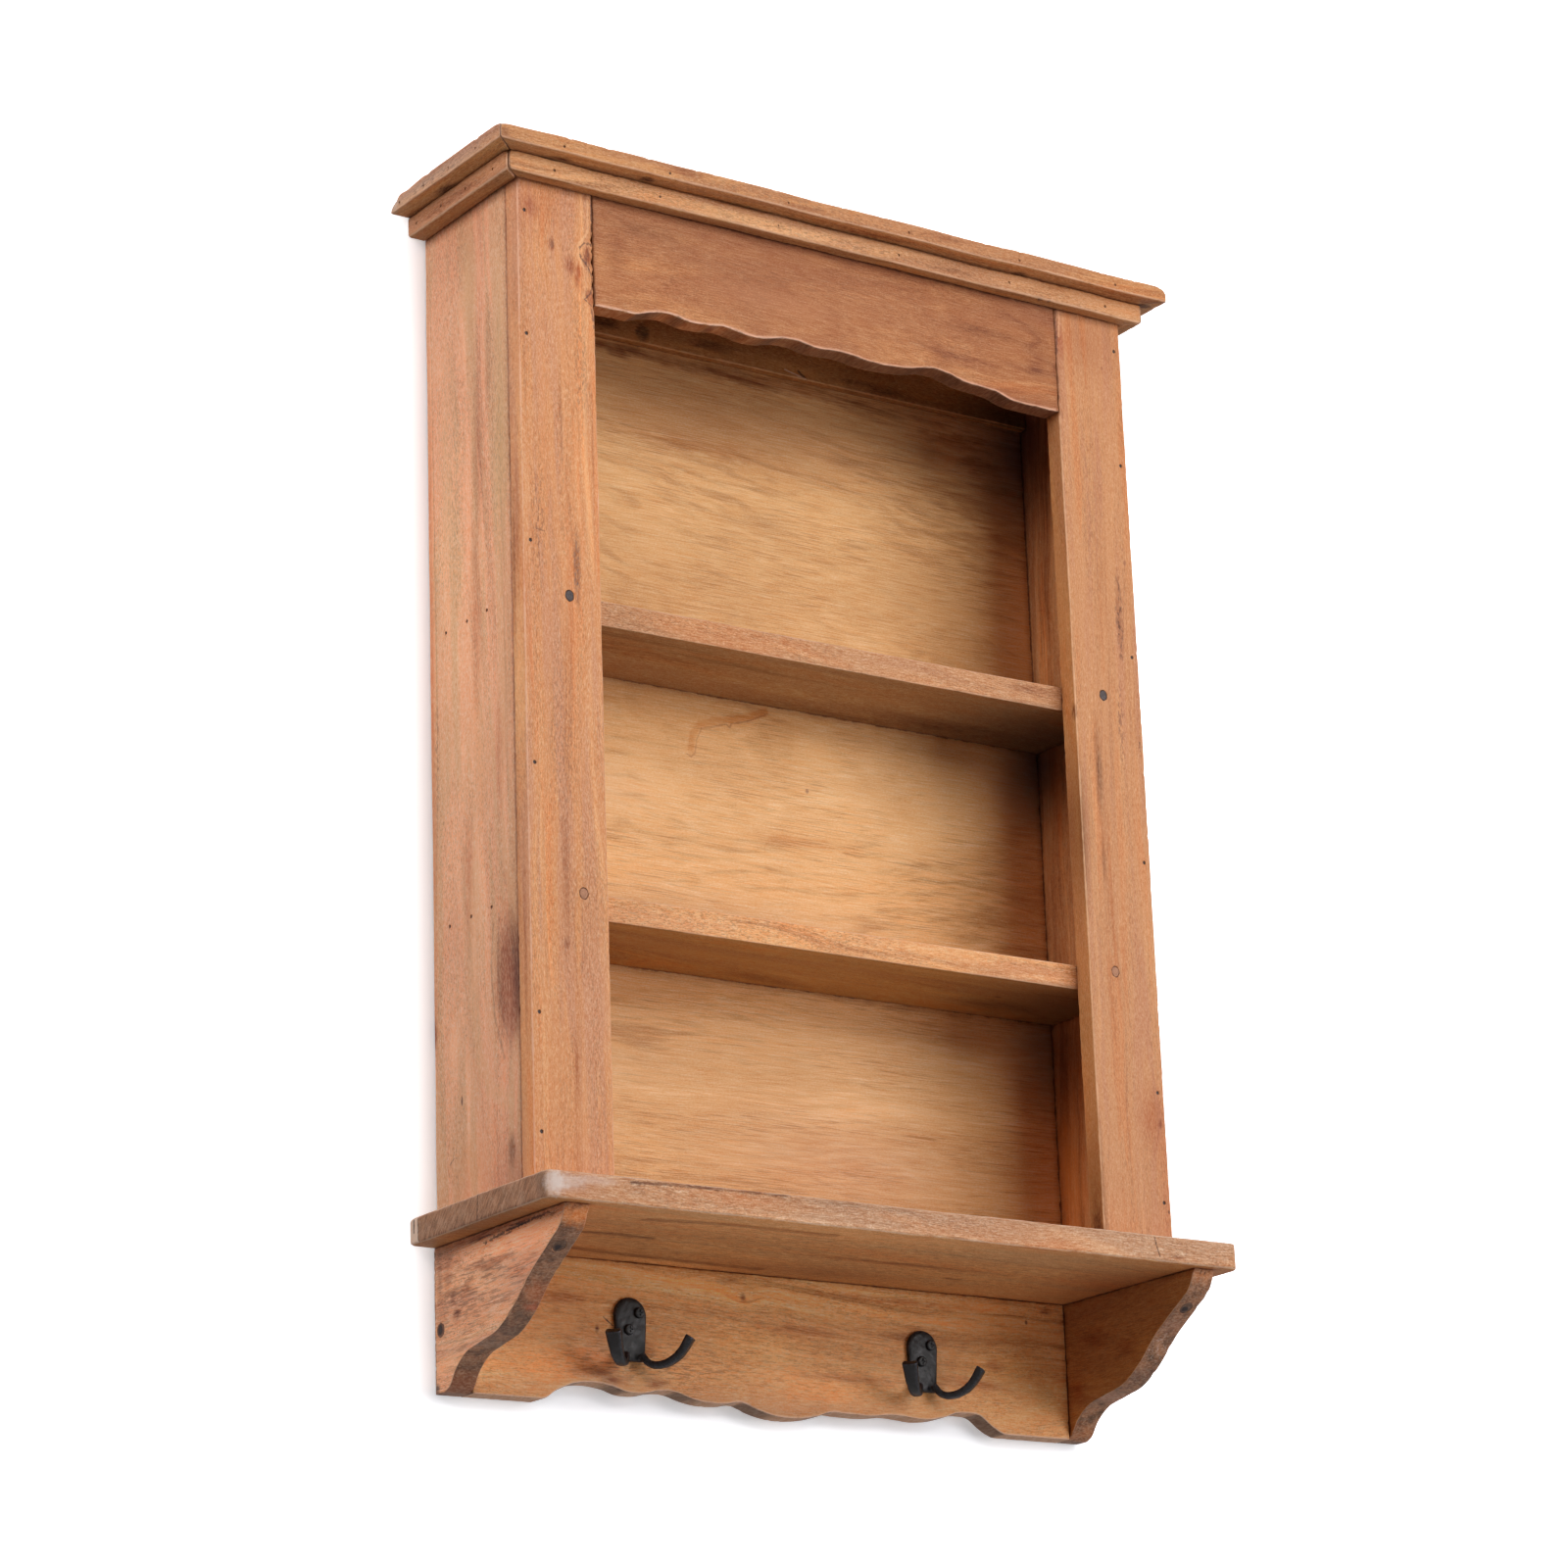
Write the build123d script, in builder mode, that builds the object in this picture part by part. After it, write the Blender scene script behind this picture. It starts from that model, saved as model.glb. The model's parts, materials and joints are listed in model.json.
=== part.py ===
from build123d import *
from math import cos, radians, sin
import os

os.makedirs("parts", exist_ok=True)

# A wall shelf with a cornice, two shelves and a scrolled hook board.
# Sizes are in millimetres. The origin is on the wall plane, in the middle of the rear edge
# of the bottom board. +X is to the viewer's right, -Y is out of the wall and +Z is up.

# Carcass
carcass_width = 564.0
carcass_height = 783.0
carcass_depth = 134.0
side_thickness = 13.5
back_thickness = 12.0
back_recess = 5.0
top_board_thickness = 19.0
shelf_thickness = 19.0
upper_shelf_height = 444.5
lower_shelf_height = 221.0

# Face frame
stile_width = 65.5
stile_thickness = 17.0
valance_height = 114.5
valance_scallop = 12.5

# Hanging rail and the two holes for the wall screws
rail_height = 63.0
rail_thickness = 8.0
wall_screw_spacing = 400.0
wall_screw_hole_radius = 2.75

# Cornice: a set-back moulding below and a wider one above
lower_moulding_height = 14.4
lower_moulding_front = 12.0
lower_moulding_side = 15.0
lower_moulding_round = 2.2
upper_moulding_height = 12.4
upper_moulding_front = 26.5
upper_moulding_side = 29.7
upper_moulding_round = 1.2

# Bottom board
board_thickness = 20.0
board_front = 51.0
board_side = 22.0
board_corner_radius = 10.0
board_edge_round = 2.5

# Brackets and hook board
bracket_thickness = 20.0
bracket_side = 3.0
bracket_depth = 177.5
bracket_height = 104.5
hook_board_thickness = 18.0
hook_board_scallop = 14.5

# Robe hooks
hook_spacing = 260.0
hook_offset = -3.6
left_hook_drop = 26.5
right_hook_drop = 31.0
hook_plate_width = 27.0
hook_plate_height = 46.5
hook_plate_thickness = 4.0
hook_waist_width = 22.5
hook_arm_width = 9.4
hook_arm_root_thickness = 4.6
hook_arm_tip_thickness = 6.6
hook_arm_reach = 36.0
hook_arm_rise = 19.0
hook_arm_dip = 5.6
hook_arm_root_offset = 7.0
hook_arm_splay = 46.0

# Hook screws
hook_screw_head_radius = 4.0
hook_screw_head_height = 2.4
hook_screw_radius = 1.9
hook_screw_length = 14.0
hook_screw_clearance = 0.3
cross_slot_width = 1.1
cross_slot_length = 4.6
cross_slot_depth = 1.1
upper_screw_offset = 6.2
upper_screw_drop = 11.2
lower_screw_offset = -2.6
lower_screw_drop = 24.0

# Plugs and the wood screws that they hide
plug_radius = 4.9
plug_depth = 7.0
screw_head_radius = 4.0
screw_head_height = 3.2
screw_radius = 2.1
screw_length = 42.0
bracket_screw_length = 24.0
stile_plug_inset = 41.0
bracket_side_plug_drop = 60.0
bracket_front_plug_depth = 153.0

# Nails, punched a little below the face
nail_radius = 0.9
nail_head_radius = 1.4
nail_head_height = 1.2
nail_set = 0.8
shelf_nail_length = 34.0
stile_nail_length = 40.0
lower_nail_length = 23.0
upper_nail_length = 36.0
back_nail_length = 30.0
stile_nail_inset = 6.2

cut_overrun = 2.0

# Waves of the valance's lower edge, from its left end to its right end: places along the
# opening, and how far the edge rises above its flat ends, as shares of the scallop's height.
valance_wave_place_shares = [
    0.0, 0.08, 0.112, 0.15, 0.2, 0.232, 0.27, 0.292, 0.322, 0.352, 0.39, 0.425, 0.458,
    0.518, 0.583, 0.625, 0.664, 0.719, 0.754, 0.786, 0.828, 0.862, 0.888, 0.92, 1.0,
]
valance_wave_rise_shares = [
    0.0, 0.05, 0.36, 0.58, 0.36, 0.42, 0.58, 0.48, 0.33, 0.4, 0.68, 0.74, 0.56,
    0.66, 0.46, 0.5, 0.64, 1.0, 0.86, 0.6, 0.5, 0.38, 0.1, 0.0, 0.0,
]

# Waves of the hook board's lower edge, given in the same way
hook_wave_place_shares = [
    0.0, 0.108, 0.132, 0.157, 0.183, 0.217, 0.243, 0.272, 0.292, 0.321, 0.347, 0.375,
    0.404, 0.432, 0.453, 0.481, 0.53, 0.56, 0.581, 0.604, 0.647, 0.685, 0.751, 0.774,
    0.796, 0.819, 0.842, 0.858, 0.886, 1.0,
]
hook_wave_rise_shares = [
    0.0, 0.0, 0.48, 0.86, 1.0, 0.9, 0.66, 0.66, 0.82, 0.85, 0.6, 0.455,
    0.475, 0.59, 0.32, 0.07, 0.03, 0.22, 0.46, 0.45, 0.44, 0.58, 0.5, 0.64,
    0.9, 0.98, 0.85, 0.42, 0.0, 0.0,
]

# The bracket's scrolled edge, from its top front corner down to its foot
bracket_depth_shares = [1.0, 0.958, 0.873, 0.721, 0.597, 0.49, 0.349, 0.237, 0.163, 0.107]
bracket_drop_shares = [0.0, 0.133, 0.233, 0.4, 0.581, 0.69, 0.741, 0.784, 0.867, 0.975]
bracket_foot_share = 0.073

# Nail places, as shares of the length that each row runs along
stile_nail_height_shares = [0.049, 0.158, 0.391, 0.605, 0.81, 0.935]
shelf_nail_depth_shares = [0.2, 0.46, 0.7]
side_moulding_nail_shares = [0.1, 0.37, 0.64, 0.935]
front_moulding_nail_shares = [-0.91, -0.58, -0.2, 0.2, 0.58, 0.92]
back_nail_shares = [-0.8, -0.3, 0.3, 0.8]

# Path of a hook's arm, from its root on the plate to its tip, as shares of its reach and
# of its rise above the lowest point
hook_arm_reach_shares = [0.0, 0.1, 0.22, 0.38, 0.58, 0.76, 0.9, 1.0]
hook_arm_rise_shares = [0.42, 0.16, 0.03, 0.0, 0.1, 0.36, 0.68, 1.0]
hook_arm_lean_degrees = [-62, -48, -24, 4, 26, 48, 60, 64]

# Places that follow from the sizes above
half_width = carcass_width / 2
board_top = board_thickness / 2
board_bottom = -board_thickness / 2
carcass_top = board_top + carcass_height
side_depth = carcass_depth - stile_thickness
inner_half_width = half_width - side_thickness
opening_half_width = half_width - stile_width
back_front_depth = back_recess + back_thickness
top_board_bottom = carcass_top - top_board_thickness
upper_moulding_bottom = carcass_top - upper_moulding_height
lower_moulding_bottom = upper_moulding_bottom - lower_moulding_height
shelf_levels = {
    "upper_shelf": board_top + upper_shelf_height,
    "lower_shelf": board_top + lower_shelf_height,
}
bracket_outer = half_width + bracket_side
bracket_inner = bracket_outer - bracket_thickness
rail_front_depth = back_front_depth + rail_thickness
rail_bottom = top_board_bottom - rail_height
rail_middle = top_board_bottom - rail_height / 2


def keep(piece, name):
    """Names a finished piece and writes it."""
    piece.part.label = name
    export_step(piece.part, f"parts/{name}.step")


def board(x_span, y_span, z_span, cutters=()):
    """A squared board between two places on each axis, less what is driven into it."""
    with BuildPart() as piece:
        with BuildSketch(Plane.XY.offset(z_span[0])):
            with Locations(((x_span[0] + x_span[1]) / 2, (y_span[0] + y_span[1]) / 2)):
                Rectangle(x_span[1] - x_span[0], y_span[1] - y_span[0])
        extrude(amount=z_span[1] - z_span[0])
        for cutter in cutters:
            add(cutter, mode=Mode.SUBTRACT)
    return piece


def front_face(x, z, depth):
    """A plane on a face that looks out of the wall."""
    return Plane(origin=(x, -depth, z), x_dir=(1, 0, 0), z_dir=(0, -1, 0))


def side_face(side, y, z, distance):
    """A plane on a face that looks left (side -1) or right (side 1)."""
    return Plane(origin=(side * distance, y, z), x_dir=(0, side, 0), z_dir=(side, 0, 0))


def rear_face(x, z, depth):
    """A plane on a face that looks at the wall."""
    return Plane(origin=(x, -depth, z), x_dir=(-1, 0, 0), z_dir=(0, 1, 0))


def rods(places, radius, start, length, overrun=0.0):
    """Round rods that begin below each face and run into it."""
    with BuildPart() as group:
        for place in places:
            with BuildSketch(place.offset(overrun - start)):
                Circle(radius)
            extrude(amount=-length - overrun)
    return group.part


def nails(places, length):
    """Nails whose heads stand a little below each face."""
    with BuildPart() as group:
        add(rods(places, nail_head_radius, nail_set, nail_head_height))
        add(rods(places, nail_radius, nail_set + nail_head_height, length - nail_head_height))
    return group


def nail_pockets(places):
    """The punched holes over the nails' heads."""
    return rods(places, nail_head_radius, 0, nail_set, cut_overrun)


def screws(places, length):
    """Countersunk wood screws whose heads lie at the bottom of the plug holes."""
    with BuildPart() as group:
        for place in places:
            with BuildSketch(place.offset(-plug_depth)):
                Circle(screw_head_radius)
            with BuildSketch(place.offset(-plug_depth - screw_head_height)):
                Circle(screw_radius)
            loft(ruled=True)
        add(rods(places, screw_radius, plug_depth + screw_head_height, length - screw_head_height))
    return group


# Nails through the side panels into the ends of the shelves
shelf_nail_places = [
    side_face(side, -share * side_depth, level - shelf_thickness / 2, half_width)
    for side in (-1, 1)
    for level in shelf_levels.values()
    for share in shelf_nail_depth_shares
]
shelf_nails = nails(shelf_nail_places, shelf_nail_length)
shelf_pockets = nail_pockets(shelf_nail_places)

# Nails through the stiles into the front edges of the side panels
stile_nail_places = [
    front_face(side * (half_width - stile_nail_inset), board_top + share * carcass_height, carcass_depth)
    for side in (-1, 1)
    for share in stile_nail_height_shares
]
stile_nails = nails(stile_nail_places, stile_nail_length)
stile_pockets = nail_pockets(stile_nail_places)


def moulding_nail_places(height, front, side_projection):
    """Places along the front and both returns of a moulding, at one height."""
    fronts = [
        front_face(share * half_width, height, carcass_depth + front)
        for share in front_moulding_nail_shares
    ]
    returns = [
        side_face(side, -share * carcass_depth, height, half_width + side_projection)
        for side in (-1, 1)
        for share in side_moulding_nail_shares
    ]
    return fronts + returns


upper_nail_places = moulding_nail_places(
    carcass_top - upper_moulding_height / 2, upper_moulding_front, upper_moulding_side
)
upper_moulding_nails = nails(upper_nail_places, upper_nail_length)
upper_pockets = nail_pockets(upper_nail_places)

lower_nail_places = moulding_nail_places(
    lower_moulding_bottom + lower_moulding_height / 2, lower_moulding_front, lower_moulding_side
)
lower_moulding_nails = nails(lower_nail_places, lower_nail_length)
lower_pockets = nail_pockets(lower_nail_places)

# Nails through the back panel into the shelves and the top board
back_nail_places = [
    rear_face(share * inner_half_width, level, back_recess)
    for level in (
        shelf_levels["upper_shelf"] - shelf_thickness / 2,
        shelf_levels["lower_shelf"] - shelf_thickness / 2,
        carcass_top - top_board_thickness / 2,
    )
    for share in back_nail_shares
]
back_nails = nails(back_nail_places, back_nail_length)
back_pockets = nail_pockets(back_nail_places)

# Plugged screws through the stiles into the front edges of the shelves: the two at the
# upper shelf have dark plugs, the two at the lower shelf light ones
stile_plug_places = {
    name: [
        front_face(side * (half_width - stile_plug_inset), level - shelf_thickness / 2, carcass_depth)
        for side in (-1, 1)
    ]
    for name, level in shelf_levels.items()
}
all_stile_plug_places = stile_plug_places["upper_shelf"] + stile_plug_places["lower_shelf"]
stile_screws = screws(all_stile_plug_places, screw_length)
stile_plug_holes = rods(all_stile_plug_places, plug_radius, 0, plug_depth, cut_overrun)

# Plugged screws through the brackets into the ends of the hook board
bracket_side_places = [
    side_face(side, -hook_board_thickness / 2, board_bottom - bracket_side_plug_drop, bracket_outer)
    for side in (-1, 1)
]
bracket_side_screws = screws(bracket_side_places, screw_length)
bracket_side_holes = rods(bracket_side_places, plug_radius, 0, plug_depth, cut_overrun)

# Nodes that hold only rods: nails, hidden screws and plugs
keep(shelf_nails, "shelf_nails")
keep(stile_nails, "stile_nails")
keep(upper_moulding_nails, "upper_moulding_nails")
keep(lower_moulding_nails, "lower_moulding_nails")
keep(back_nails, "back_nails")
keep(stile_screws, "stile_screws")
keep(bracket_side_screws, "bracket_side_screws")

for level_name, plug_name in (("upper_shelf", "stile_plugs_dark"), ("lower_shelf", "stile_plugs_light")):
    with BuildPart() as plugs:
        add(rods(stile_plug_places[level_name], plug_radius, 0, plug_depth))
    keep(plugs, plug_name)

with BuildPart() as side_plugs:
    add(rods(bracket_side_places, plug_radius, 0, plug_depth))
keep(side_plugs, "bracket_side_plugs")

# Carcass boards
for side, name in ((-1, "side_panel_left"), (1, "side_panel_right")):
    side_panel = board(
        sorted((side * inner_half_width, side * half_width)),
        (-side_depth, 0),
        (board_top, carcass_top),
        (
            shelf_nails.part,
            shelf_pockets,
            stile_nails.part,
            upper_moulding_nails.part,
            lower_moulding_nails.part,
        ),
    )
    keep(side_panel, name)

for name, level in shelf_levels.items():
    shelf = board(
        (-inner_half_width, inner_half_width),
        (-side_depth, -back_front_depth),
        (level - shelf_thickness, level),
        (shelf_nails.part, back_nails.part, stile_screws.part),
    )
    keep(shelf, name)

top_board = board(
    (-inner_half_width, inner_half_width),
    (-side_depth, -back_front_depth),
    (top_board_bottom, carcass_top),
    (back_nails.part, upper_moulding_nails.part, lower_moulding_nails.part),
)
keep(top_board, "top_board")

# The wall screws pass through the hanging rail and the back panel
wall_screw_places = [
    front_face(side * wall_screw_spacing / 2, rail_middle, rail_front_depth) for side in (-1, 1)
]
wall_screw_holes = rods(wall_screw_places, wall_screw_hole_radius, 0, rail_front_depth, cut_overrun)

back_panel = board(
    (-inner_half_width, inner_half_width),
    (-back_front_depth, -back_recess),
    (board_top, carcass_top),
    (back_nails.part, back_pockets, wall_screw_holes),
)
keep(back_panel, "back_panel")

hanging_rail = board(
    (-inner_half_width, inner_half_width),
    (-rail_front_depth, -back_front_depth),
    (rail_bottom, top_board_bottom),
    (wall_screw_holes,),
)
keep(hanging_rail, "hanging_rail")

# Face frame
for side, name in ((-1, "stile_left"), (1, "stile_right")):
    stile = board(
        sorted((side * opening_half_width, side * half_width)),
        (-carcass_depth, -side_depth),
        (board_top, carcass_top),
        (
            stile_nails.part,
            stile_pockets,
            stile_screws.part,
            stile_plug_holes,
            upper_moulding_nails.part,
            lower_moulding_nails.part,
        ),
    )
    keep(stile, name)


def wavy_board(half_length, top, height, scallop, place_shares, rise_shares, front_depth, thickness):
    """An upright board with a straight top edge and a wavy lower edge."""
    bottom = top - height
    points = [
        ((2 * place - 1) * half_length, bottom + rise * scallop)
        for place, rise in zip(place_shares, rise_shares)
    ]
    with BuildPart() as piece:
        with BuildSketch(Plane.XZ.offset(front_depth - thickness)):
            with BuildLine():
                Line((-half_length, top), points[0])
                Line(points[0], points[1])
                Spline(points[1:-1], tangents=[(1, 0), (1, 0)])
                Line(points[-2], points[-1])
                Polyline(points[-1], (half_length, top), (-half_length, top))
            make_face()
        extrude(amount=thickness)
    return piece


valance = wavy_board(
    opening_half_width,
    carcass_top,
    valance_height,
    valance_scallop,
    valance_wave_place_shares,
    valance_wave_rise_shares,
    carcass_depth,
    stile_thickness,
)
with valance:
    add(upper_moulding_nails.part, mode=Mode.SUBTRACT)
    add(lower_moulding_nails.part, mode=Mode.SUBTRACT)
keep(valance, "valance")


def moulding(corners, bottom, height, edge_round, outer_edge, nail_group, pockets):
    """A mitred strip with its top outer edge rounded, less its nails."""
    with BuildPart() as piece:
        with BuildSketch(Plane.XY.offset(bottom)):
            with BuildLine():
                Polyline(*corners, close=True)
            make_face()
        extrude(amount=height)
        fillet(outer_edge(piece.edges().group_by(Axis.Z)[-1]), radius=edge_round)
        add(nail_group.part, mode=Mode.SUBTRACT)
        add(pockets, mode=Mode.SUBTRACT)
    return piece


moulding_layers = {
    "upper_moulding": (
        upper_moulding_bottom,
        upper_moulding_height,
        upper_moulding_front,
        upper_moulding_side,
        upper_moulding_round,
        upper_moulding_nails,
        upper_pockets,
    ),
    "lower_moulding": (
        lower_moulding_bottom,
        lower_moulding_height,
        lower_moulding_front,
        lower_moulding_side,
        lower_moulding_round,
        lower_moulding_nails,
        lower_pockets,
    ),
}
for layer, (bottom, height, front, side_out, edge_round, nail_group, pockets) in moulding_layers.items():
    outer_x = half_width + side_out
    outer_y = -(carcass_depth + front)
    front_corners = [
        (-half_width, -carcass_depth),
        (-outer_x, outer_y),
        (outer_x, outer_y),
        (half_width, -carcass_depth),
    ]
    front_strip = moulding(
        front_corners,
        bottom,
        height,
        edge_round,
        lambda edges: edges.filter_by(Axis.X).sort_by(Axis.Y)[0],
        nail_group,
        pockets,
    )
    keep(front_strip, f"{layer}_front")
    for side, name in ((-1, "left"), (1, "right")):
        return_corners = [
            (side * half_width, 0),
            (side * outer_x, 0),
            (side * outer_x, outer_y),
            (side * half_width, -carcass_depth),
        ]
        return_strip = moulding(
            return_corners,
            bottom,
            height,
            edge_round,
            lambda edges: edges.filter_by(Axis.Y).sort_by(Axis.X)[0 if side < 0 else -1],
            nail_group,
            pockets,
        )
        keep(return_strip, f"{layer}_{name}")


def bracket(side):
    """A scrolled bracket without its holes."""
    points = [
        (-depth * bracket_depth, board_bottom - drop * bracket_height)
        for depth, drop in zip(bracket_depth_shares, bracket_drop_shares)
    ]
    foot_depth = bracket_foot_share * bracket_depth
    foot = board_bottom - bracket_height
    with BuildPart() as piece:
        with BuildSketch(Plane.YZ.offset(min(side * bracket_inner, side * bracket_outer))):
            with BuildLine():
                Spline(points)
                Polyline(points[-1], (-foot_depth, foot), (0, foot), (0, board_bottom), points[0])
            make_face()
        extrude(amount=bracket_thickness)
    return piece


# Plugged screws that go up through the front of each bracket into the bottom board. The
# plug's lower end is cut to the bracket's slope.
bracket_middle = (bracket_outer + bracket_inner) / 2
bracket_screw_top = board_bottom + board_thickness - screw_head_height
bracket_screw_bottom = bracket_screw_top - bracket_screw_length
with BuildPart() as bracket_front_screws:
    for side in (-1, 1):
        axis_place = (side * bracket_middle, -bracket_front_plug_depth)
        with BuildSketch(Plane.XY.offset(bracket_screw_bottom)):
            with Locations(axis_place):
                Circle(screw_head_radius)
        with BuildSketch(Plane.XY.offset(bracket_screw_bottom + screw_head_height)):
            with Locations(axis_place):
                Circle(screw_radius)
        loft(ruled=True)
        with BuildSketch(Plane.XY.offset(bracket_screw_bottom + screw_head_height)):
            with Locations(axis_place):
                Circle(screw_radius)
        extrude(amount=bracket_screw_length - screw_head_height)
keep(bracket_front_screws, "bracket_front_screws")

with BuildPart() as front_plug_bores:
    for side in (-1, 1):
        with BuildSketch(Plane.XY.offset(bracket_screw_bottom)):
            with Locations((side * bracket_middle, -bracket_front_plug_depth)):
                Circle(plug_radius)
        extrude(amount=-bracket_height)

with BuildPart() as bracket_front_plugs:
    for side in (-1, 1):
        add(bracket(side).part)
    add(front_plug_bores.part, mode=Mode.INTERSECT)
keep(bracket_front_plugs, "bracket_front_plugs")

for side, name in ((-1, "bracket_left"), (1, "bracket_right")):
    drilled_bracket = bracket(side)
    with drilled_bracket:
        add(front_plug_bores.part, mode=Mode.SUBTRACT)
        add(bracket_front_screws.part, mode=Mode.SUBTRACT)
        add(bracket_side_screws.part, mode=Mode.SUBTRACT)
        add(bracket_side_holes, mode=Mode.SUBTRACT)
    keep(drilled_bracket, name)

# Bottom board, with rounded front corners and softened edges
board_half_width = half_width + board_side
board_depth = carcass_depth + board_front
with BuildPart() as bottom_board:
    with BuildSketch(Plane.XY.offset(board_bottom)):
        with Locations((0, -board_depth / 2)):
            Rectangle(2 * board_half_width, board_depth)
    extrude(amount=board_thickness)
    front_corners = bottom_board.edges().filter_by(Axis.Z).group_by(Axis.Y)[0]
    fillet(front_corners, radius=board_corner_radius)
    rims = bottom_board.faces().sort_by(Axis.Z)
    worn_edges = [
        edge
        for face in (rims[0], rims[-1])
        for edge in face.edges()
        if edge.center().Y < -board_edge_round
    ]
    fillet(worn_edges, radius=board_edge_round)
    add(bracket_front_screws.part, mode=Mode.SUBTRACT)
keep(bottom_board, "bottom_board")

# Hook screws: round heads with a cross slot
hook_centres = {
    "left": (hook_offset - hook_spacing / 2, board_bottom - left_hook_drop),
    "right": (hook_offset + hook_spacing / 2, board_bottom - right_hook_drop),
}
hook_face_depth = hook_board_thickness + hook_plate_thickness
hook_screw_places = [
    front_face(x + offset, top - drop, hook_face_depth)
    for x, top in hook_centres.values()
    for offset, drop in ((upper_screw_offset, upper_screw_drop), (lower_screw_offset, lower_screw_drop))
]
with BuildPart() as hook_screws:
    for place in hook_screw_places:
        with BuildSketch(place):
            Circle(hook_screw_head_radius)
        extrude(amount=hook_screw_head_height)
    rims = hook_screws.edges().filter_by(GeomType.CIRCLE).group_by(Axis.Y)[0]
    fillet(rims, radius=hook_screw_head_height / 2)
    for place in hook_screw_places:
        with BuildSketch(place.offset(hook_screw_head_height - cross_slot_depth)):
            Rectangle(cross_slot_length, cross_slot_width)
            Rectangle(cross_slot_width, cross_slot_length)
        extrude(amount=cross_slot_depth + cut_overrun, mode=Mode.SUBTRACT)
    add(rods(hook_screw_places, hook_screw_radius, 0, hook_plate_thickness + hook_screw_length))
keep(hook_screws, "hook_screws")

hook_board = wavy_board(
    bracket_inner,
    board_bottom,
    bracket_height,
    hook_board_scallop,
    hook_wave_place_shares,
    hook_wave_rise_shares,
    hook_board_thickness,
    hook_board_thickness,
)
with hook_board:
    add(hook_screws.part, mode=Mode.SUBTRACT)
    add(bracket_side_screws.part, mode=Mode.SUBTRACT)
keep(hook_board, "hook_board")


def hook_plate(centre_x, top):
    """An upright plate: round at the top, narrower below."""
    shoulder = top - hook_plate_width / 2
    foot = top - hook_plate_height
    half_top = hook_plate_width / 2
    half_foot = hook_waist_width / 2
    with BuildPart() as piece:
        with BuildSketch(Plane.XZ.offset(hook_board_thickness)):
            with BuildLine():
                ThreePointArc(
                    (centre_x - half_top, shoulder),
                    (centre_x, top),
                    (centre_x + half_top, shoulder),
                )
                Polyline(
                    (centre_x + half_top, shoulder),
                    (centre_x + half_foot, foot),
                    (centre_x - half_foot, foot),
                    (centre_x - half_top, shoulder),
                )
            make_face()
        extrude(amount=hook_plate_thickness)
    return piece


def hook_arm(centre_x, foot, side):
    """A J-shaped arm, lofted through sections that follow its path."""
    outward = (side * sin(radians(hook_arm_splay)), -cos(radians(hook_arm_splay)))
    across = Vector(outward[1], -outward[0], 0)
    root_x = centre_x + side * hook_arm_root_offset
    root_y = -hook_board_thickness - sin(radians(hook_arm_splay)) * hook_arm_width / 2
    root_y -= hook_arm_root_thickness / 2
    lowest = foot - hook_arm_dip + hook_arm_root_thickness / 2
    count = len(hook_arm_reach_shares)
    with BuildPart() as piece:
        for index in range(count):
            reach = hook_arm_reach_shares[index] * hook_arm_reach
            height = lowest + hook_arm_rise_shares[index] * hook_arm_rise
            lean = radians(hook_arm_lean_degrees[index])
            along = Vector(outward[0] * cos(lean), outward[1] * cos(lean), sin(lean))
            centre = (root_x + outward[0] * reach, root_y + outward[1] * reach, height)
            swell = index / (count - 1)
            thickness = hook_arm_root_thickness + swell * (hook_arm_tip_thickness - hook_arm_root_thickness)
            with BuildSketch(Plane(origin=centre, x_dir=across, z_dir=along)):
                Rectangle(hook_arm_width, thickness)
        loft(ruled=True)
    return piece


for name, (centre_x, top) in hook_centres.items():
    foot = top - hook_plate_height
    with BuildPart() as robe_hook:
        add(hook_plate(centre_x, top).part)
        for side in (-1, 1):
            add(hook_arm(centre_x, foot, side).part)
        clearance_holes = rods(
            hook_screw_places, hook_screw_radius + hook_screw_clearance, 0, hook_plate_thickness, cut_overrun
        )
        add(clearance_holes, mode=Mode.SUBTRACT)
    keep(robe_hook, f"robe_hook_{name}")
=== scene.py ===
import json
import math

import bmesh
import bpy
import numpy as np
from mathutils import Matrix, Vector
from mathutils.kdtree import KDTree


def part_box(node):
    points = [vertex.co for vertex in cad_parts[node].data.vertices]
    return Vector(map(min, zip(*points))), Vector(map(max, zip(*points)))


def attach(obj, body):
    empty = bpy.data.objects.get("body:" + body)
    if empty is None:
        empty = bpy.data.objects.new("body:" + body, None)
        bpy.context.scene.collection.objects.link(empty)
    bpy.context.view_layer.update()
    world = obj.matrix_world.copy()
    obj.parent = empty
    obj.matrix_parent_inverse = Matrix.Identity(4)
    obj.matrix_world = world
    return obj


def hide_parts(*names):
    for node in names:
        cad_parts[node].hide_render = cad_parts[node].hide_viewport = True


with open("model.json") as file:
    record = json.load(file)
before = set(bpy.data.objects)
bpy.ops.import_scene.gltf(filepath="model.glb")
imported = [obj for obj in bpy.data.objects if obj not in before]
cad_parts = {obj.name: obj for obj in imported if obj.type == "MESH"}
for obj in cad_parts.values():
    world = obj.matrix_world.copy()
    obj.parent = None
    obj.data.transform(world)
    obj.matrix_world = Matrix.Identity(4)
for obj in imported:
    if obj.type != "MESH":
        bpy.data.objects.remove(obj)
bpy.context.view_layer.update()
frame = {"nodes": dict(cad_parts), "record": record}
slots = {entry["node"]: entry["material_slot"] for entry in frame["record"]["subparts"]}

# Shapes are worked out in millimetres and written in metres.
MM = 0.001
HALF_WIDTH, DEPTH, HEIGHT = 282, 134, 783  # the carcass
SHELF_THICKNESS = 19
OPENING_HALF = 216.5  # the opening between the stiles
SIDE_INNER = 268.5  # the side panels' inner faces
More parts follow.
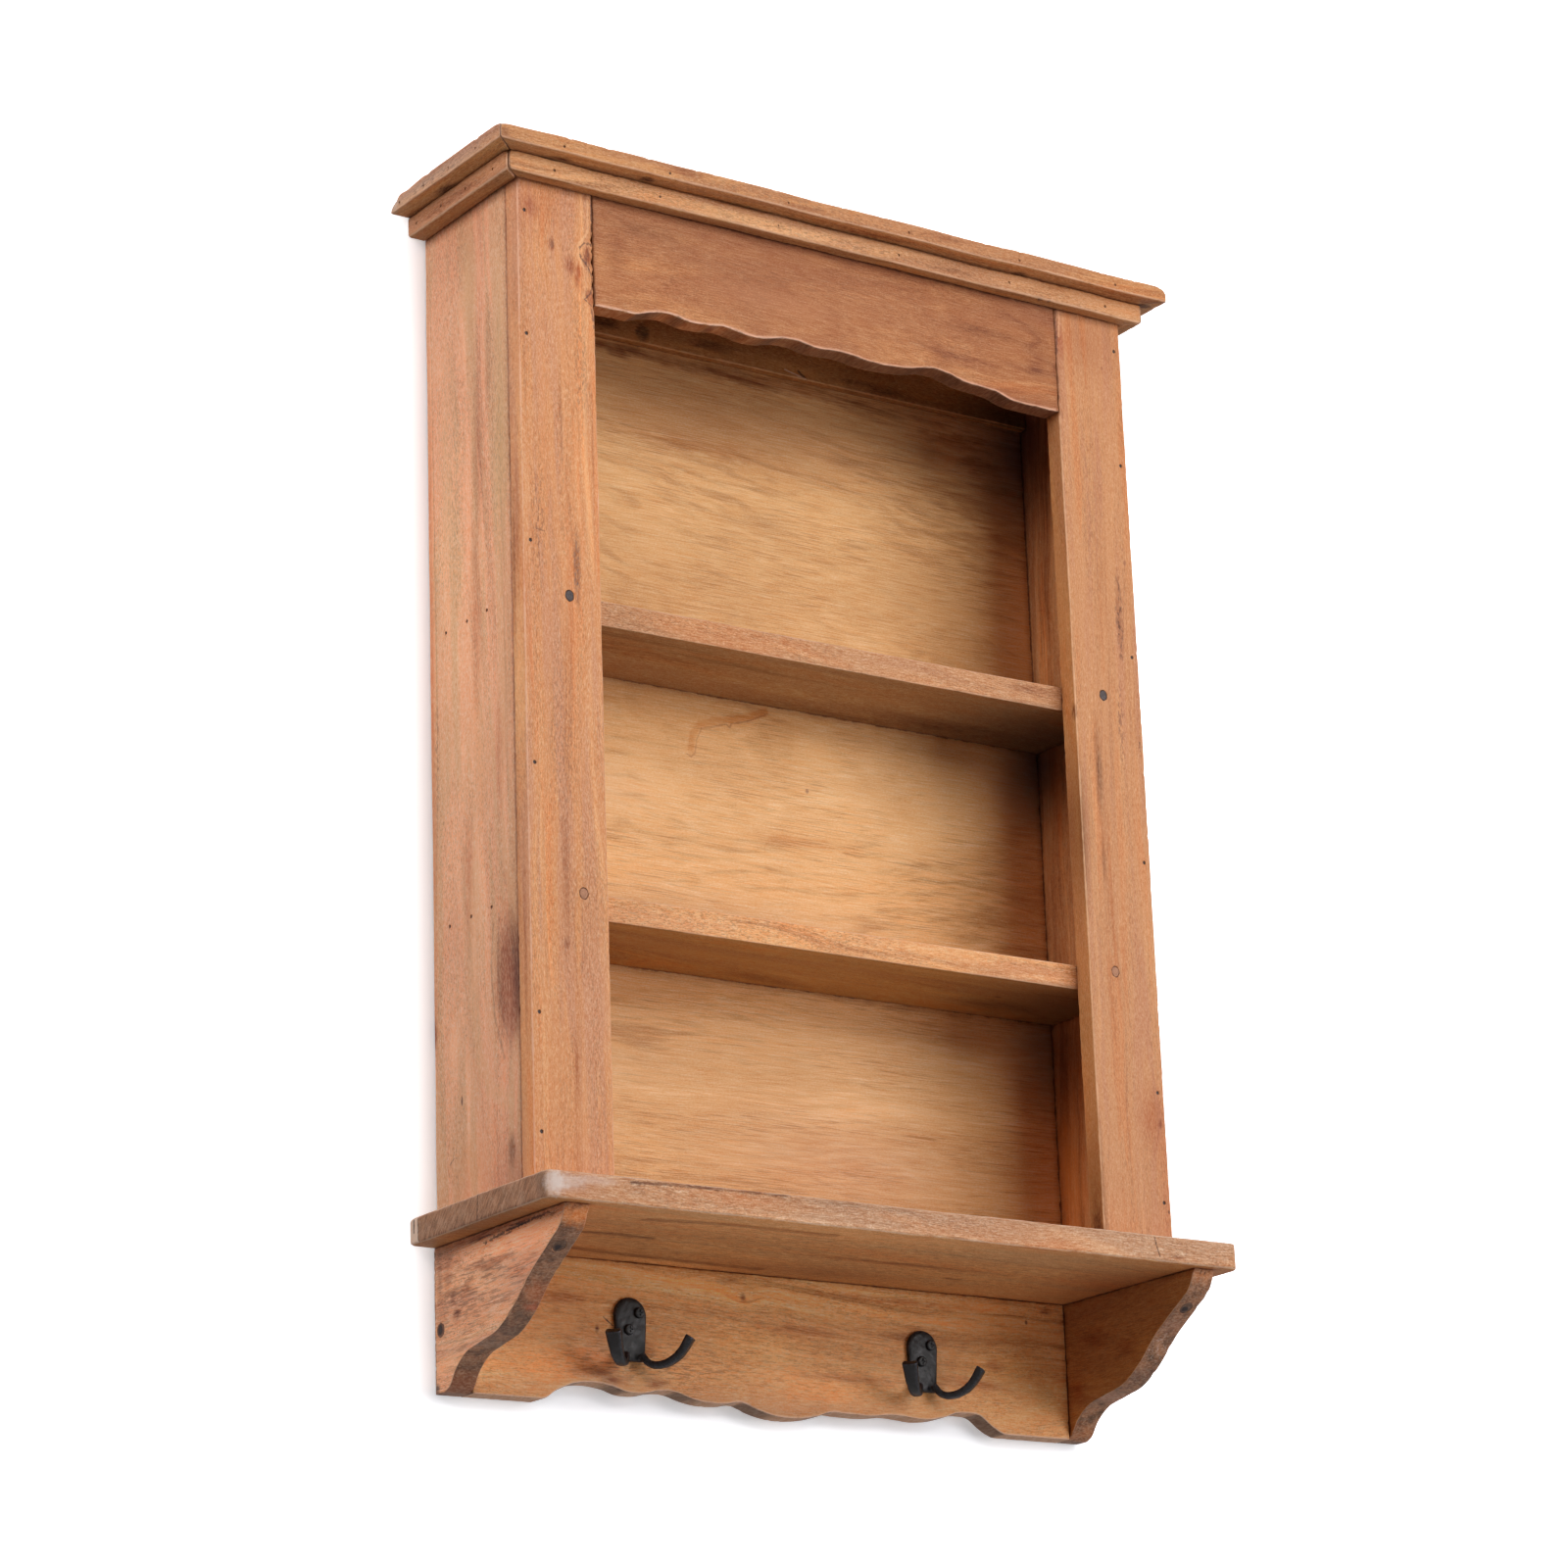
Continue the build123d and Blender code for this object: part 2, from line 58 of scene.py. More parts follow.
# Fronts of the boards, in y.
BOARD_FRONT, SHELF_FRONT, RAIL_FRONT, HOOK_BOARD_FRONT, PANEL_FRONT = -185, -117, -25, -18, -17
# How far the two layers of the cornice stand out of the carcass, at its sides and in front.
UPPER_OUT, UPPER_AHEAD, LOWER_OUT, LOWER_AHEAD = 29.7, 26.5, 15, 12
UPPER_UNDERSIDE = 782.9


def node_box(name):
    """Lowest and highest corner of a CAD node, in millimetres."""
    low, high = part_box(name)
    return np.array(low) / MM, np.array(high) / MM


solid_boxes = {name: node_box(name) for name in slots}
# In the photograph the lower strip of the cornice is this much taller than the CAD node.
TALLER = 1.8
for name, (low, high) in solid_boxes.items():
    if "moulding" in name and "nails" not in name:
        high[2] += TALLER
        if name.startswith("upper"):
            low[2] += TALLER
fittings = ("nails", "screws", "plugs", "hook_left", "hook_right")
boards = [name for name in slots if not any(word in name for word in fittings)]

# Shapes.


def ripple(points, length, seed):
    """A smooth wavering value between about -1 and 1 at each point."""
    rng = np.random.default_rng(seed)
    total = np.zeros(len(points))
    for _ in range(6):
        direction = rng.normal(size=3)
        direction *= rng.uniform(0.6, 1.7) / np.linalg.norm(direction)
        total += np.sin(points @ direction * 2 * math.pi / length + rng.uniform(0, 6.28))
    return total / 3.2


def ripples(points, length, seed):
    """A smooth wavering shift of each point."""
    return np.stack([ripple(points, length, seed + axis) for axis in range(3)], axis=1)


def lines(length, step, edge):
    """Places along one side of a board, closer together near both ends."""
    near = [edge * share for share in (0, 0.3, 0.62, 1, 1.5)]
    inner = length - 2 * near[-1]
    count = max(1, round(inner / step))
    middle = [near[-1] + inner * i / count for i in range(1, count)]
    return np.array(near + middle + [length - d for d in reversed(near)])


def box_grid(counts):
    """Index triples and quads of the surface of a grid of places."""
    quads = []
    for axis in range(3):
        a, b = [other for other in range(3) if other != axis]
        for end in (0, counts[axis] - 1):
            i, j = np.meshgrid(np.arange(counts[a] - 1), np.arange(counts[b] - 1), indexing="ij")
            corners = []
            for da, db in ((0, 0), (1, 0), (1, 1), (0, 1)):
                triple = np.empty(i.shape + (3,), int)
                triple[..., axis], triple[..., a], triple[..., b] = end, i + da, j + db
                corners.append(triple)
            side = np.stack(corners, axis=-2).reshape(-1, 4, 3)
            quads.append(side[:, ::-1] if (end == 0) != (axis == 1) else side)
    quads = np.concatenate(quads)
    keys = (quads[..., 0] * counts[1] + quads[..., 1]) * counts[2] + quads[..., 2]
    unique, faces = np.unique(keys, return_inverse=True)
    return np.stack(np.unravel_index(unique, counts), axis=1), faces.reshape(-1, 4)


def rounded(points, size, radii):
    """Moves the points near each arris of a box onto a quarter round of uneven radius."""
    inset = np.minimum(points, size - points)
    inward = np.where(points < size / 2, 1.0, -1.0)
    moved = points.copy()
    for on in range(3):
        for near in range(3):
            if on == near:
                continue
            radius = radii[:, 3 - on - near]
            active = (inset[:, on] == 0) & (inset[:, near] < radius)
            if on > near:
                active &= inset[:, near] > 0
            angle = (1 - inset[:, near] / radius) * math.pi / 4
            back = radius * (1 - np.cos(angle))
            along = radius * (1 - np.sin(angle)) - inset[:, near]
            moved[active, on] += (inward[:, on] * back)[active]
            moved[active, near] += (inward[:, near] * along)[active]
    return moved


def cutter(places, radius, depth, stretch=1.0):
    """Rough-walled plugs that cut holes. Places are (point, outward direction)."""
    shape = bmesh.new()
    for number, (point, outward) in enumerate(places):
        turn = Vector(outward).to_track_quat("Z", "Y").to_matrix().to_4x4()
        made = bmesh.ops.create_cone(
            shape, cap_ends=True, segments=24, radius1=radius, radius2=radius * 1.04, depth=depth * 2,
            matrix=Matrix.Translation(Vector(point)) @ turn,
        )
        for vertex in made["verts"]:
            wobble = 1 + 0.05 * math.sin(vertex.index * 2.4 + number * 1.7)
            offset = (vertex.co - Vector(point)) * wobble
            vertex.co = Vector(point) + Vector((offset.x / stretch, offset.y, offset.z * stretch))
    bmesh.ops.scale(shape, vec=(MM, MM, MM), verts=shape.verts)
    return shape


def outward_mesh(name, shape):
    """A mesh of a bmesh, with all its faces turned outward."""
    mesh = bpy.data.meshes.new(name)
    bmesh.ops.recalc_face_normals(shape, faces=shape.faces)
    shape.to_mesh(mesh)
    shape.free()
    return mesh


def mesh_of(name, points, faces):
    """A mesh from points in millimetres."""
    plain = bpy.data.meshes.new(name)
    plain.from_pydata((points * MM).tolist(), [], [list(face) for face in faces])
    shape = bmesh.new()
    shape.from_mesh(plain)
    bpy.data.meshes.remove(plain)
    return outward_mesh(name, shape)


def place_object(name, data):
    made = bpy.data.objects.new(name, data)
    bpy.context.scene.collection.objects.link(made)
    return made


def evaluated(piece):
    """The mesh of an object with its modifiers applied."""
    bpy.context.view_layer.update()
    return bpy.data.meshes.new_from_object(piece.evaluated_get(bpy.context.evaluated_depsgraph_get()))


def read(items, key, width, kind=np.float32):
    """One property of all vertices or edges, a row for each."""
    values = np.empty(len(items) * width, kind)
    items.foreach_get(key, values)
    return values.reshape(-1, width)


FAR = 60  # how far a board measures its neighbours


def make_piece(name, node, points, faces, arris, holes=(), smooth_angle=38):
    """A piece from its points in millimetres, with its holes cut and its wear measured."""
    piece = place_object(name, mesh_of(name, points, faces))
    for hole in holes:
        tool = place_object("tool", outward_mesh("tool", cutter(*hole)))
        cut = piece.modifiers.new("cut", "BOOLEAN")
        cut.operation = "DIFFERENCE"
        cut.solver = "EXACT"
        cut.object = tool
        result = evaluated(piece)
        piece.modifiers.clear()
        piece.data = result
        bpy.data.objects.remove(tool)
    mesh = piece.data
    places_now = read(mesh.vertices, "co", 3) / MM
    if holes:
        tree = KDTree(len(points))
        for number, point in enumerate(points):
            tree.insert(point, number)
        tree.balance()
        arris = np.array([arris[tree.find(point)[1]] for point in places_now])
    touch = np.full(len(places_now), float(FAR))
    for other in boards:
        if other != node and not ("moulding" in node and other.startswith(node[:14])):
            low, high = solid_boxes[other]
            gap = np.maximum(0, np.maximum(low - places_now, places_now - high))
            touch = np.minimum(touch, np.linalg.norm(gap, axis=1))
    for label, values in (("arris", arris), ("touch", touch)):
        attribute = mesh.attributes.new(label, "FLOAT", "POINT")
        attribute.data.foreach_set("value", values.astype(np.float32))
    mesh.shade_smooth()
    mesh.set_sharp_from_angle(angle=math.radians(smooth_angle))
    weigh = piece.modifiers.new("even normals", "WEIGHTED_NORMAL")
    weigh.keep_sharp = True
    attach(piece, "root")
    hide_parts(node)
    return piece


def slab(node, place=None, size=None, step=4.0, radius=1.2, waver=0.12, holes=(), seed=1, dents=(), chew=0.0):
    """A board: a box in its own millimetres, its arrises rounded by uneven wear, set in place.

    radius is one number, or one each for the arrises along x, y and z. chew is how deep chips eat into them.
    """
    low, high = solid_boxes[node]
    size = high - low if size is None else np.array(size, float)
    radius = np.broadcast_to(radius, 3).astype(float)
    sides = [lines(length, step, radius.max()) for length in size]
    triples, faces = box_grid([len(side) for side in sides])
    points = np.stack([sides[axis][triples[:, axis]] for axis in range(3)], axis=1)
    inset = np.minimum(points, size - points)
    inward = np.where(points < size / 2, 1.0, -1.0)
    arris = np.sort(inset, axis=1)[:, 1]
    radii = radius * (1 + 0.22 * ripples(points, 70, seed) + 0.1 * ripples(points, 17, seed + 7))
    radii = np.clip(radii, radius * 0.45, radius * 1.5)
    bite = 0.6 * ripple(points, 11, seed + 31) + 0.5 * ripple(points, 5, seed + 32) - 0.3
    bite = np.clip(bite, 0, 1.2) * chew * np.exp(-((arris / 2.0) ** 2))
    points = rounded(points, size, radii)
    points = points + inward * bite[:, None] * np.exp(-((inset / 3.0) ** 2))
    points = points + low if place is None else place(points)
    points = points + waver * ripples(points, 90, seed + 20)
    for centre, reach, push in dents:
        distance = np.linalg.norm((points - np.array(centre)) / np.array(reach), axis=1)
        weight = np.clip(1 - distance, 0, 1) ** 1.5
        points = points + weight[:, None] * np.array(push)
    return make_piece("wood_" + node, node, points, faces, arris, holes)


# Materials.


def shade(red, green, blue):
    """A colour written as it shows on a screen, 0 to 255, as the linear colour that nodes take."""
    linear = [v / 255 / 12.92 if v <= 10 else ((v / 255 + 0.055) / 1.055) ** 2.4 for v in (red, green, blue)]
    return (*linear, 1)


def on_face(axis, value, first, second):
    """A place in a face, from its two coordinates there and the face's place along axis."""
    place = [first, second]
    place.insert(axis, value)
    return tuple(place)


class Value:
    """The output of a node. Sums, differences and products of values are nodes too."""

    def __init__(self, nodes, socket):
        self.nodes = nodes
        self.socket = socket

    def __add__(self, other):
        return self.nodes.combine("ADD", self, other)

    def __radd__(self, other):
        return self.nodes.combine("ADD", other, self)

    def __sub__(self, other):
        return self.nodes.combine("SUBTRACT", self, other)

    def __rsub__(self, other):
        return self.nodes.combine("SUBTRACT", other, self)

    def __mul__(self, other):
        return self.nodes.combine("MULTIPLY", self, other)


def is_vector(value):
    return value.socket.type in ("VECTOR", "RGBA") if isinstance(value, Value) else isinstance(value, tuple)


class Nodes:
    """Fills one node tree."""

    def __init__(self, owner):
        owner.use_nodes = True
        self.tree = owner.node_tree
        self.tree.nodes.clear()

    def node(self, kind, **settings):
        made = self.tree.nodes.new("ShaderNode" + kind)
        for key, value in settings.items():
            setattr(made, key, value)
        return made

    def feed(self, node, **inputs):
        """Links or sets the inputs of a node. A name is an input's own, or in and its number."""
        for key, value in inputs.items():
            socket = node.inputs[int(key[2:]) if key[:2] == "in" else key.replace("_", " ")]
            if isinstance(value, Value):
                self.tree.links.new(value.socket, socket)
            else:
                socket.default_value = value
        return node

    def out(self, kind, output=0, settings={}, **inputs):
        """An output of a new node."""
        return Value(self, self.feed(self.node(kind, **settings), **inputs).outputs[output])

    def maths(self, operation, first, second=0, clamp=False):
        return self.out("Math", settings={"operation": operation, "use_clamp": clamp}, in0=first, in1=second)

    def vector(self, operation, first, second=(0, 0, 0), **third):
        output = "Value" if operation in ("LENGTH", "DOT_PRODUCT") else "Vector"
        inputs = {"Scale": second} if operation == "SCALE" else {"in1": second}
        return self.out("VectorMath", output, {"operation": operation}, in0=first, **inputs, **third)

    def combine(self, operation, first, second):
        if operation == "MULTIPLY" and is_vector(first) and not is_vector(second):
            return self.vector("SCALE", first, second)
        combined = self.vector if is_vector(first) or is_vector(second) else self.maths
        return combined(operation, first, second)


class Paint(Nodes):
    """Builds one node material. Places are in millimetres."""

    def __init__(self, name):
        self.material = bpy.data.materials.new(name)
        super().__init__(self.material)
        self.world = self.out("TexCoord", "Object") * (1 / MM)
        self.normal = self.out("NewGeometry", "Normal")

    def split(self, vector):
        made = self.feed(self.node("SeparateXYZ"), in0=vector)
        return [Value(self, output) for output in made.outputs]

    def join(self, x, y, z):
        return self.out("CombineXYZ", in0=x, in1=y, in2=z)

    def noise(self, place, sizes, seed=0, detail=2, roughness=0.5, colour=False):
        """Noise whose features are about as large as sizes, in millimetres along each axis."""
        shift = (seed, seed * 1.7, seed * 2.3)
        scaled = self.vector("MULTIPLY_ADD", place, tuple(1 / size for size in sizes), in2=shift)
        output = "Color" if colour else "Fac"
        return self.out("TexNoise", output, Vector=scaled, Scale=1, Detail=detail, Roughness=roughness)

    def span(self, value, low, high, to_low=0, to_high=1):
        """Eases a value from one range to another and holds it at both ends."""
        ends = {"From Min": low, "From Max": high, "To Min": to_low, "To Max": to_high}
        return self.out("MapRange", 0, {"interpolation_type": "SMOOTHSTEP"}, Value=value, **ends)

    def ramp(self, value, *stops):
        made = self.feed(self.node("ValToRGB"), in0=value)
        elements = made.color_ramp.elements
        while len(elements) < len(stops):
            elements.new(0.5)
        for element, (position, colour) in zip(elements, stops):
            element.position = position
            element.color = colour
        return Value(self, made.outputs["Color"])

    def mix(self, share, first, second, blend="MIX"):
        made = self.node("Mix", data_type="RGBA", blend_type=blend, clamp_factor=True)
        numbers = {socket.name: n for n, socket in enumerate(made.inputs) if socket.type == "RGBA"}
        self.feed(made, **{"Factor": share, f"in{numbers['A']}": first, f"in{numbers['B']}": second})
        return Value(self, next(socket for socket in made.outputs if socket.type == "RGBA"))

    def deepen(self, colour, amount):
        """Darker and richer above 1, paler below 1, the way oiled wood varies."""
        return self.out("Gamma", in0=colour, in1=amount)

    def attribute(self, name):
        return self.out("Attribute", "Fac", {"attribute_name": name, "attribute_type": "GEOMETRY"})

    def spot(self, centre, reach, soft=0.5, ragged=0, grit=(4, 4, 4), seed=3):
        """1 inside an egg-shaped place around centre, fading to 0 at its rim."""
        distance = self.vector("LENGTH", (self.world - tuple(centre)) * tuple(1 / r for r in reach))
        if ragged:
            distance = distance + (self.noise(self.world, grit, seed, detail=3, roughness=0.6) - 0.5) * ragged
        return self.span(distance, 1, 1 - soft)

    def stroke(self, path, width, ragged=0):
        """1 on a line through the points of path, fading to 0 at its sides. Ragged lines vary in width."""
        distance = 1000.0
        for start, end in zip(path, path[1:]):
            line = Vector(end) - Vector(start)
            offset = self.world - tuple(start)
            passed = self.vector("DOT_PRODUCT", offset, tuple(line))
            share = self.maths("DIVIDE", passed, line.length_squared, clamp=True)
            aside = offset - self.vector("SCALE", tuple(line), share)
            distance = self.maths("MINIMUM", distance, self.vector("LENGTH", aside))
        if ragged:
            stir = self.noise(self.world, (3, 3, 3), width * 9, detail=3, roughness=0.6)
            distance = distance + (stir - 0.5) * (ragged * 4)
        return self.span(distance, width, width * 0.3)

    def finish(self, colour, roughness, height, relief=0.2, depth=0.25, specular=0.25, metallic=0):
        bump = self.out("Bump", Strength=relief, Distance=depth * MM, Height=height)
        surface = self.feed(
            self.node("BsdfPrincipled"),
            **{"Base Color": colour, "Specular IOR Level": specular},
            Roughness=roughness, Metallic=metallic, Normal=bump,
        )
        self.feed(self.node("OutputMaterial"), Surface=Value(self, surface.outputs[0]))
        return self.material


USUAL = (0.8, 1, 0.8)  # strength, softness and raggedness of a mark


def wood(
    name, node, axes, palette, pith=(20, -70), tilt=0.02, wander=7, bands=(22, 7, 1.5),
    weights=(0.5, 0.42, 0.25), contrast=1.5, figure=1, pores=0.4, pore_size=(7, 0.6), dash_size=(4.2, 0.8),
    fleck_tone=(0.42, 0.34, 0.28), specks=0.4, blotch=0.5, blotch_size=(140, 40, 40), warmth=0.8, knots=(),
    marks=(), wear=0.5, wear_reach=1.5, wear_colour=(226, 180, 148), dirt=0.6, seed=1, end_tone=0.72,
    rough=0.55, faces=(), extra=None,
):
    """Solid wood: rings round a pith along the board, pores, stains, worn arrises, dirty joints and painted
    shade where boards meet.

    axes gives which of x, y and z run along the grain, across the face and through the board.
    knots is a list of (centre, reach, swell), faces a list of (axis, sign, shares): the faces that look
    that way along the axis have their colour multiplied by the shares, as painted light and shade on whole
    sides.
    marks is a list of (axis, value, rows) for one face each, and a row is
    ("paint", "tint" or "dashes", two places and two reaches in the face, colour) and, where they aren't
    USUAL, strength, softness and raggedness, or
    ("line" or "stain", path, colour, strength, width, raggedness). Tints and stains multiply.
    ("tone", two places and two reaches in the face, shares) softly multiplies the colour by the shares:
    painted light where they are above 1, painted shade where they are below 1.
    """
    paint = Paint(name)
    low, high = solid_boxes[node]
    parts = paint.split(paint.world - tuple((low + high) / 2))
    along, across, through = (parts[axis] for axis in axes)
    place = paint.join(along, across, through)

    drift = paint.noise(place, (260, 60, 60), seed, detail=2, colour=True) - (0.5, 0.5, 0.5)
    bent = paint.vector("MULTIPLY_ADD", drift, (0, wander * 4, wander * 4), in2=place)
    _, bent_y, bent_z = paint.split(bent)
    off_y, off_z = bent_y - pith[0], bent_z - pith[1]
    radius = paint.maths("SQRT", off_y * off_y + off_z * off_z) + along * tilt
    for knot_centre, knot_reach, swell in knots:
        offset = paint.world - tuple(knot_centre)
        distance = paint.vector("LENGTH", offset * tuple(1 / r for r in knot_reach))
        radius = radius + paint.maths("EXPONENT", distance * distance * -1) * swell
    ringed = paint.join(along, radius, 0)

    broad = paint.noise(ringed, (520, bands[0], 1), seed + 3, detail=2)
    middle = paint.noise(ringed, (230, bands[1], 1), seed + 7, detail=2, roughness=0.5)
    fine = paint.noise(ringed, (60, bands[2], 1), seed + 11, detail=3, roughness=0.6)
    tone = 0.5
    for value, weight in zip((broad, middle, fine), weights):
        tone = tone + (value - 0.5) * (weight * contrast * 2)

    light, mid, dark, other = (shade(*colour) for colour in palette)
    colour = paint.ramp(tone, (0.16, dark), (0.42, mid), (0.58, mid), (0.84, light))
    streaks = paint.noise(ringed, (380, bands[1] * 1.6, 1), seed + 13, detail=2, roughness=0.5)
    patches = paint.noise(place, blotch_size, seed + 17, detail=3, roughness=0.55)
    hue = streaks * 0.55 + patches * 0.45
    colour = paint.mix(paint.span(hue, 0.47, 0.58, 0, blotch), colour, other)
    rich = paint.deepen(colour, 1.22) * 1.17
    colour = paint.mix(paint.span(hue, 0.46, 0.37, 0, warmth), colour, rich)

    pore_place = paint.join(along, bent_y, bent_z)
    crowd = paint.span(paint.noise(ringed, (110, 8, 1), seed + 47, detail=2), 0.4, 0.6, 0.25, 1)
    pore = paint.noise(pore_place, (pore_size[0], pore_size[1], pore_size[1]), seed + 23, detail=1)
    pore = paint.span(pore, 0.54, 0.66) * crowd
    speck = paint.span(paint.noise(pore_place, (2.6, 0.8, 0.8), seed + 43, detail=1), 0.54, 0.68) * crowd
    dash = paint.noise(pore_place, (dash_size[0], dash_size[1], dash_size[1]), seed + 27, roughness=0.6)
    mottle = paint.noise(place, (1.7, 0.9, 0.9), seed + 29, detail=3, roughness=0.75)
    colour = paint.deepen(colour, 1 + (1 - (dash + mottle)) * figure)
    fleck = paint.maths("MAXIMUM", pore * pores, speck * specks)
    colour = paint.mix(fleck, colour, colour * fleck_tone)

    # end grain is darker
    facing = paint.split(paint.normal)
    ends = paint.span(paint.maths("ABSOLUTE", facing[axes[0]]), 0.55, 0.85)
    colour = paint.mix(ends, colour, colour * end_tone)
    # Painted light and shade on whole sides: the sides facing one way have their colour multiplied by their
    # shares.
    for axis, sign, share in faces:
        looking = paint.span(paint.split(paint.normal)[axis] * sign, 0.55, 0.85)
        colour = paint.mix(looking, colour, colour * share)

    grit = [4, 4, 4]
    grit[axes[0]] = 12
    broken = paint.span(fine + dash, 0.75, 1.25, 1.15, 0.6)
    rows = [(axis, value, *row) for axis, value, face_rows in marks for row in face_rows]
    for number, (axis, value, kind, *row) in enumerate(rows):
        if kind in ("line", "stain"):
            path, mark_colour, strength, width, ragged = row
            mask = paint.stroke([on_face(axis, value, *point) for point in path], width, ragged)
        else:
            first, second, first_reach, second_reach, mark_colour, *manner = row
            spot_at = on_face(axis, value, first, second)
            spot_reach = on_face(axis, 6, first_reach, second_reach)
            # A tone row is painted light and shade: a soft patch of the face lightened or darkened by its
            # shares.
            if kind == "tone":
                colour = paint.mix(paint.spot(spot_at, spot_reach, 1), colour, colour * mark_colour)
                continue
            strength, soft, ragged = (*manner, *USUAL[len(manner):])
            mask = paint.spot(spot_at, spot_reach, soft, ragged, grit, seed + number)
        if kind == "dashes":
            crumb = (dash_size[0] * 1.2, dash_size[1] * 2, dash_size[1] * 2)
            stir = paint.noise(place, crumb, seed + 41, detail=3, roughness=0.65)
            mask = mask * paint.span(stir, 0.5, 0.58)
        mask = paint.maths("MULTIPLY", mask * broken, strength, clamp=True)
        target = shade(*mark_colour)
        if kind in ("tint", "stain"):
            target = paint.mix(1, colour, target, "MULTIPLY")
        colour = paint.mix(mask, colour, target)

    arris, touch = paint.attribute("arris"), paint.attribute("touch")
    chafe = paint.noise(paint.world, (26, 26, 26), seed + 31, detail=5, roughness=0.7)
    stirred = arris + (0.58 - chafe) * 3.6
    worn = paint.span(stirred, wear_reach, 0.3) * paint.span(touch, 1.5, 4) * wear
    colour = paint.mix(worn, colour, shade(*wear_colour))
    # Painted shade and dirt: within about 7 mm of another board the colour darkens softly, and within about
    # 1.6 mm a dark joint line is painted.
    dirt_and_shade_noise = paint.noise(paint.world, (9, 9, 9), seed + 37, detail=4, roughness=0.65)
    close = touch + (0.5 - dirt_and_shade_noise) * 4
    for reach, full, strength, dirt_and_shade_colour in ((7, 0.5, 0.6, (200, 178, 164)), (1.6, 0.1, 1, (122, 92, 78))):
        dirt_and_shade_target = paint.mix(1, colour, shade(*dirt_and_shade_colour), "MULTIPLY")
        colour = paint.mix(paint.span(close, reach, full) * (dirt * strength), colour, dirt_and_shade_target)
    if extra:
        colour = extra(paint, colour)

    height = fine * 0.6 - fleck * 0.7 + mottle * 0.5
    roughness = paint.span(mottle, 0.3, 0.7, rough + 0.06, rough - 0.06) + worn * -0.1
    return paint.finish(colour, roughness, height)


# The boards.

upper_level = solid_boxes["upper_shelf"][1][2]
lower_level = solid_boxes["lower_shelf"][1][2]
board_low, board_high = solid_boxes["bottom_board"]
carcass_top = solid_boxes["valance"][1][2]
board_top = board_high[2]
board_bottom = board_low[2]

NAIL, PLUG = 1.5, 5.1  # hole radii
SIDES = ((-1, "left"), (1, "right"))
FRONTWARD = (0, -1, 0)


def stile_nail_holes(side):
    heights = [board_top + share * HEIGHT for share in (0.049, 0.158, 0.391, 0.605, 0.81, 0.935)]
    return [((side * 275.8, -DEPTH, height), FRONTWARD) for height in heights]


# The dark plug at the upper shelf and the light one at the lower shelf.
stile_plug_places = {
    "left": [((-243.6, -DEPTH, 446.6), FRONTWARD), ((-237, -DEPTH, 224.4), FRONTWARD)],
    "right": [((244.8, -DEPTH, 447.6), FRONTWARD), ((241.3, -DEPTH, 225), FRONTWARD)],
}
# Chips along the inner edges of the stiles: height, how far round it, how tall, and the push.
stile_chips = {
    "left": (
        (741, 4, 5, 0.9), (731, 5, 6, 1.8), (722, 5, 4, 1.2), (713, 5, 6, 1.7), (704, 4, 4, 1.3),
        (695, 4, 5, 1.4), (686, 4, 4, 0.9), (677, 4, 5, 1),
    ),
    "right": ((770, 5, 6, 1.6), (760, 4, 5, 1), (748, 4, 6, 1.3), (735, 3, 4, 0.8)),
}


def side_nail_holes(side):
    return [
        ((side * HALF_WIDTH, share * SHELF_FRONT, level - SHELF_THICKNESS / 2), (side, 0, 0))
        for level in (upper_level, lower_level)
        for share in (0.2, 0.46, 0.7)
    ]


pieces = {}
for side, end in SIDES:
    pieces["stile_" + end] = slab(
        "stile_" + end,
        radius=1.3,
        holes=((stile_nail_holes(side), NAIL, 0.9), (stile_plug_places[end], 4.1, 5, 1.08)),
        seed=11 + side,
        step=3,
        chew=0.5,
        dents=[
            ((side * OPENING_HALF, -DEPTH, height), (reach, reach, tall), (side * push, push * 0.9, 0))
            for height, reach, tall, push in stile_chips[end]
        ],
    )
for side, end in SIDES:
    holes = ((side_nail_holes(side), NAIL, 0.9),)
    pieces["side_panel_" + end] = slab("side_panel_" + end, radius=0.9, holes=holes, seed=21 + side)
for name, radius, step, seed in (
    ("upper_shelf", 1, 4, 31), ("lower_shelf", 1, 4, 32), ("top_board", 0.6, 8, 33),
    ("back_panel", 0.5, 7, 34), ("hanging_rail", 0.8, 5, 35),
):
    pieces[name] = slab(name, radius=radius, step=step, seed=seed)

# Waves of the two scalloped lower edges: places along the board and rises, both as shares.
valance_places = [
    0, 0.08, 0.112, 0.15, 0.2, 0.232, 0.27, 0.292, 0.322, 0.352, 0.39, 0.425, 0.458,
    0.518, 0.583, 0.625, 0.664, 0.719, 0.754, 0.786, 0.828, 0.862, 0.888, 0.92, 1,
]
valance_rises = [
    0, 0.05, 0.36, 0.58, 0.36, 0.42, 0.58, 0.48, 0.33, 0.4, 0.68, 0.74, 0.56,
    0.66, 0.46, 0.5, 0.64, 1, 0.86, 0.6, 0.5, 0.38, 0.1, 0, 0,
]
hook_places = [
    0, 0.108, 0.132, 0.157, 0.183, 0.217, 0.243, 0.272, 0.292, 0.321, 0.347, 0.375, 0.404, 0.432, 0.453,
    0.481, 0.53, 0.56, 0.581, 0.604, 0.647, 0.685, 0.751, 0.774, 0.796, 0.819, 0.842, 0.858, 0.886, 1,
]
hook_rises = [
    0, 0, 0.48, 0.86, 1, 0.9, 0.66, 0.66, 0.82, 0.85, 0.6, 0.455, 0.475, 0.59, 0.32,
    0.07, 0.03, 0.22, 0.46, 0.45, 0.44, 0.58, 0.5, 0.64, 0.9, 0.98, 0.85, 0.42, 0, 0,
]


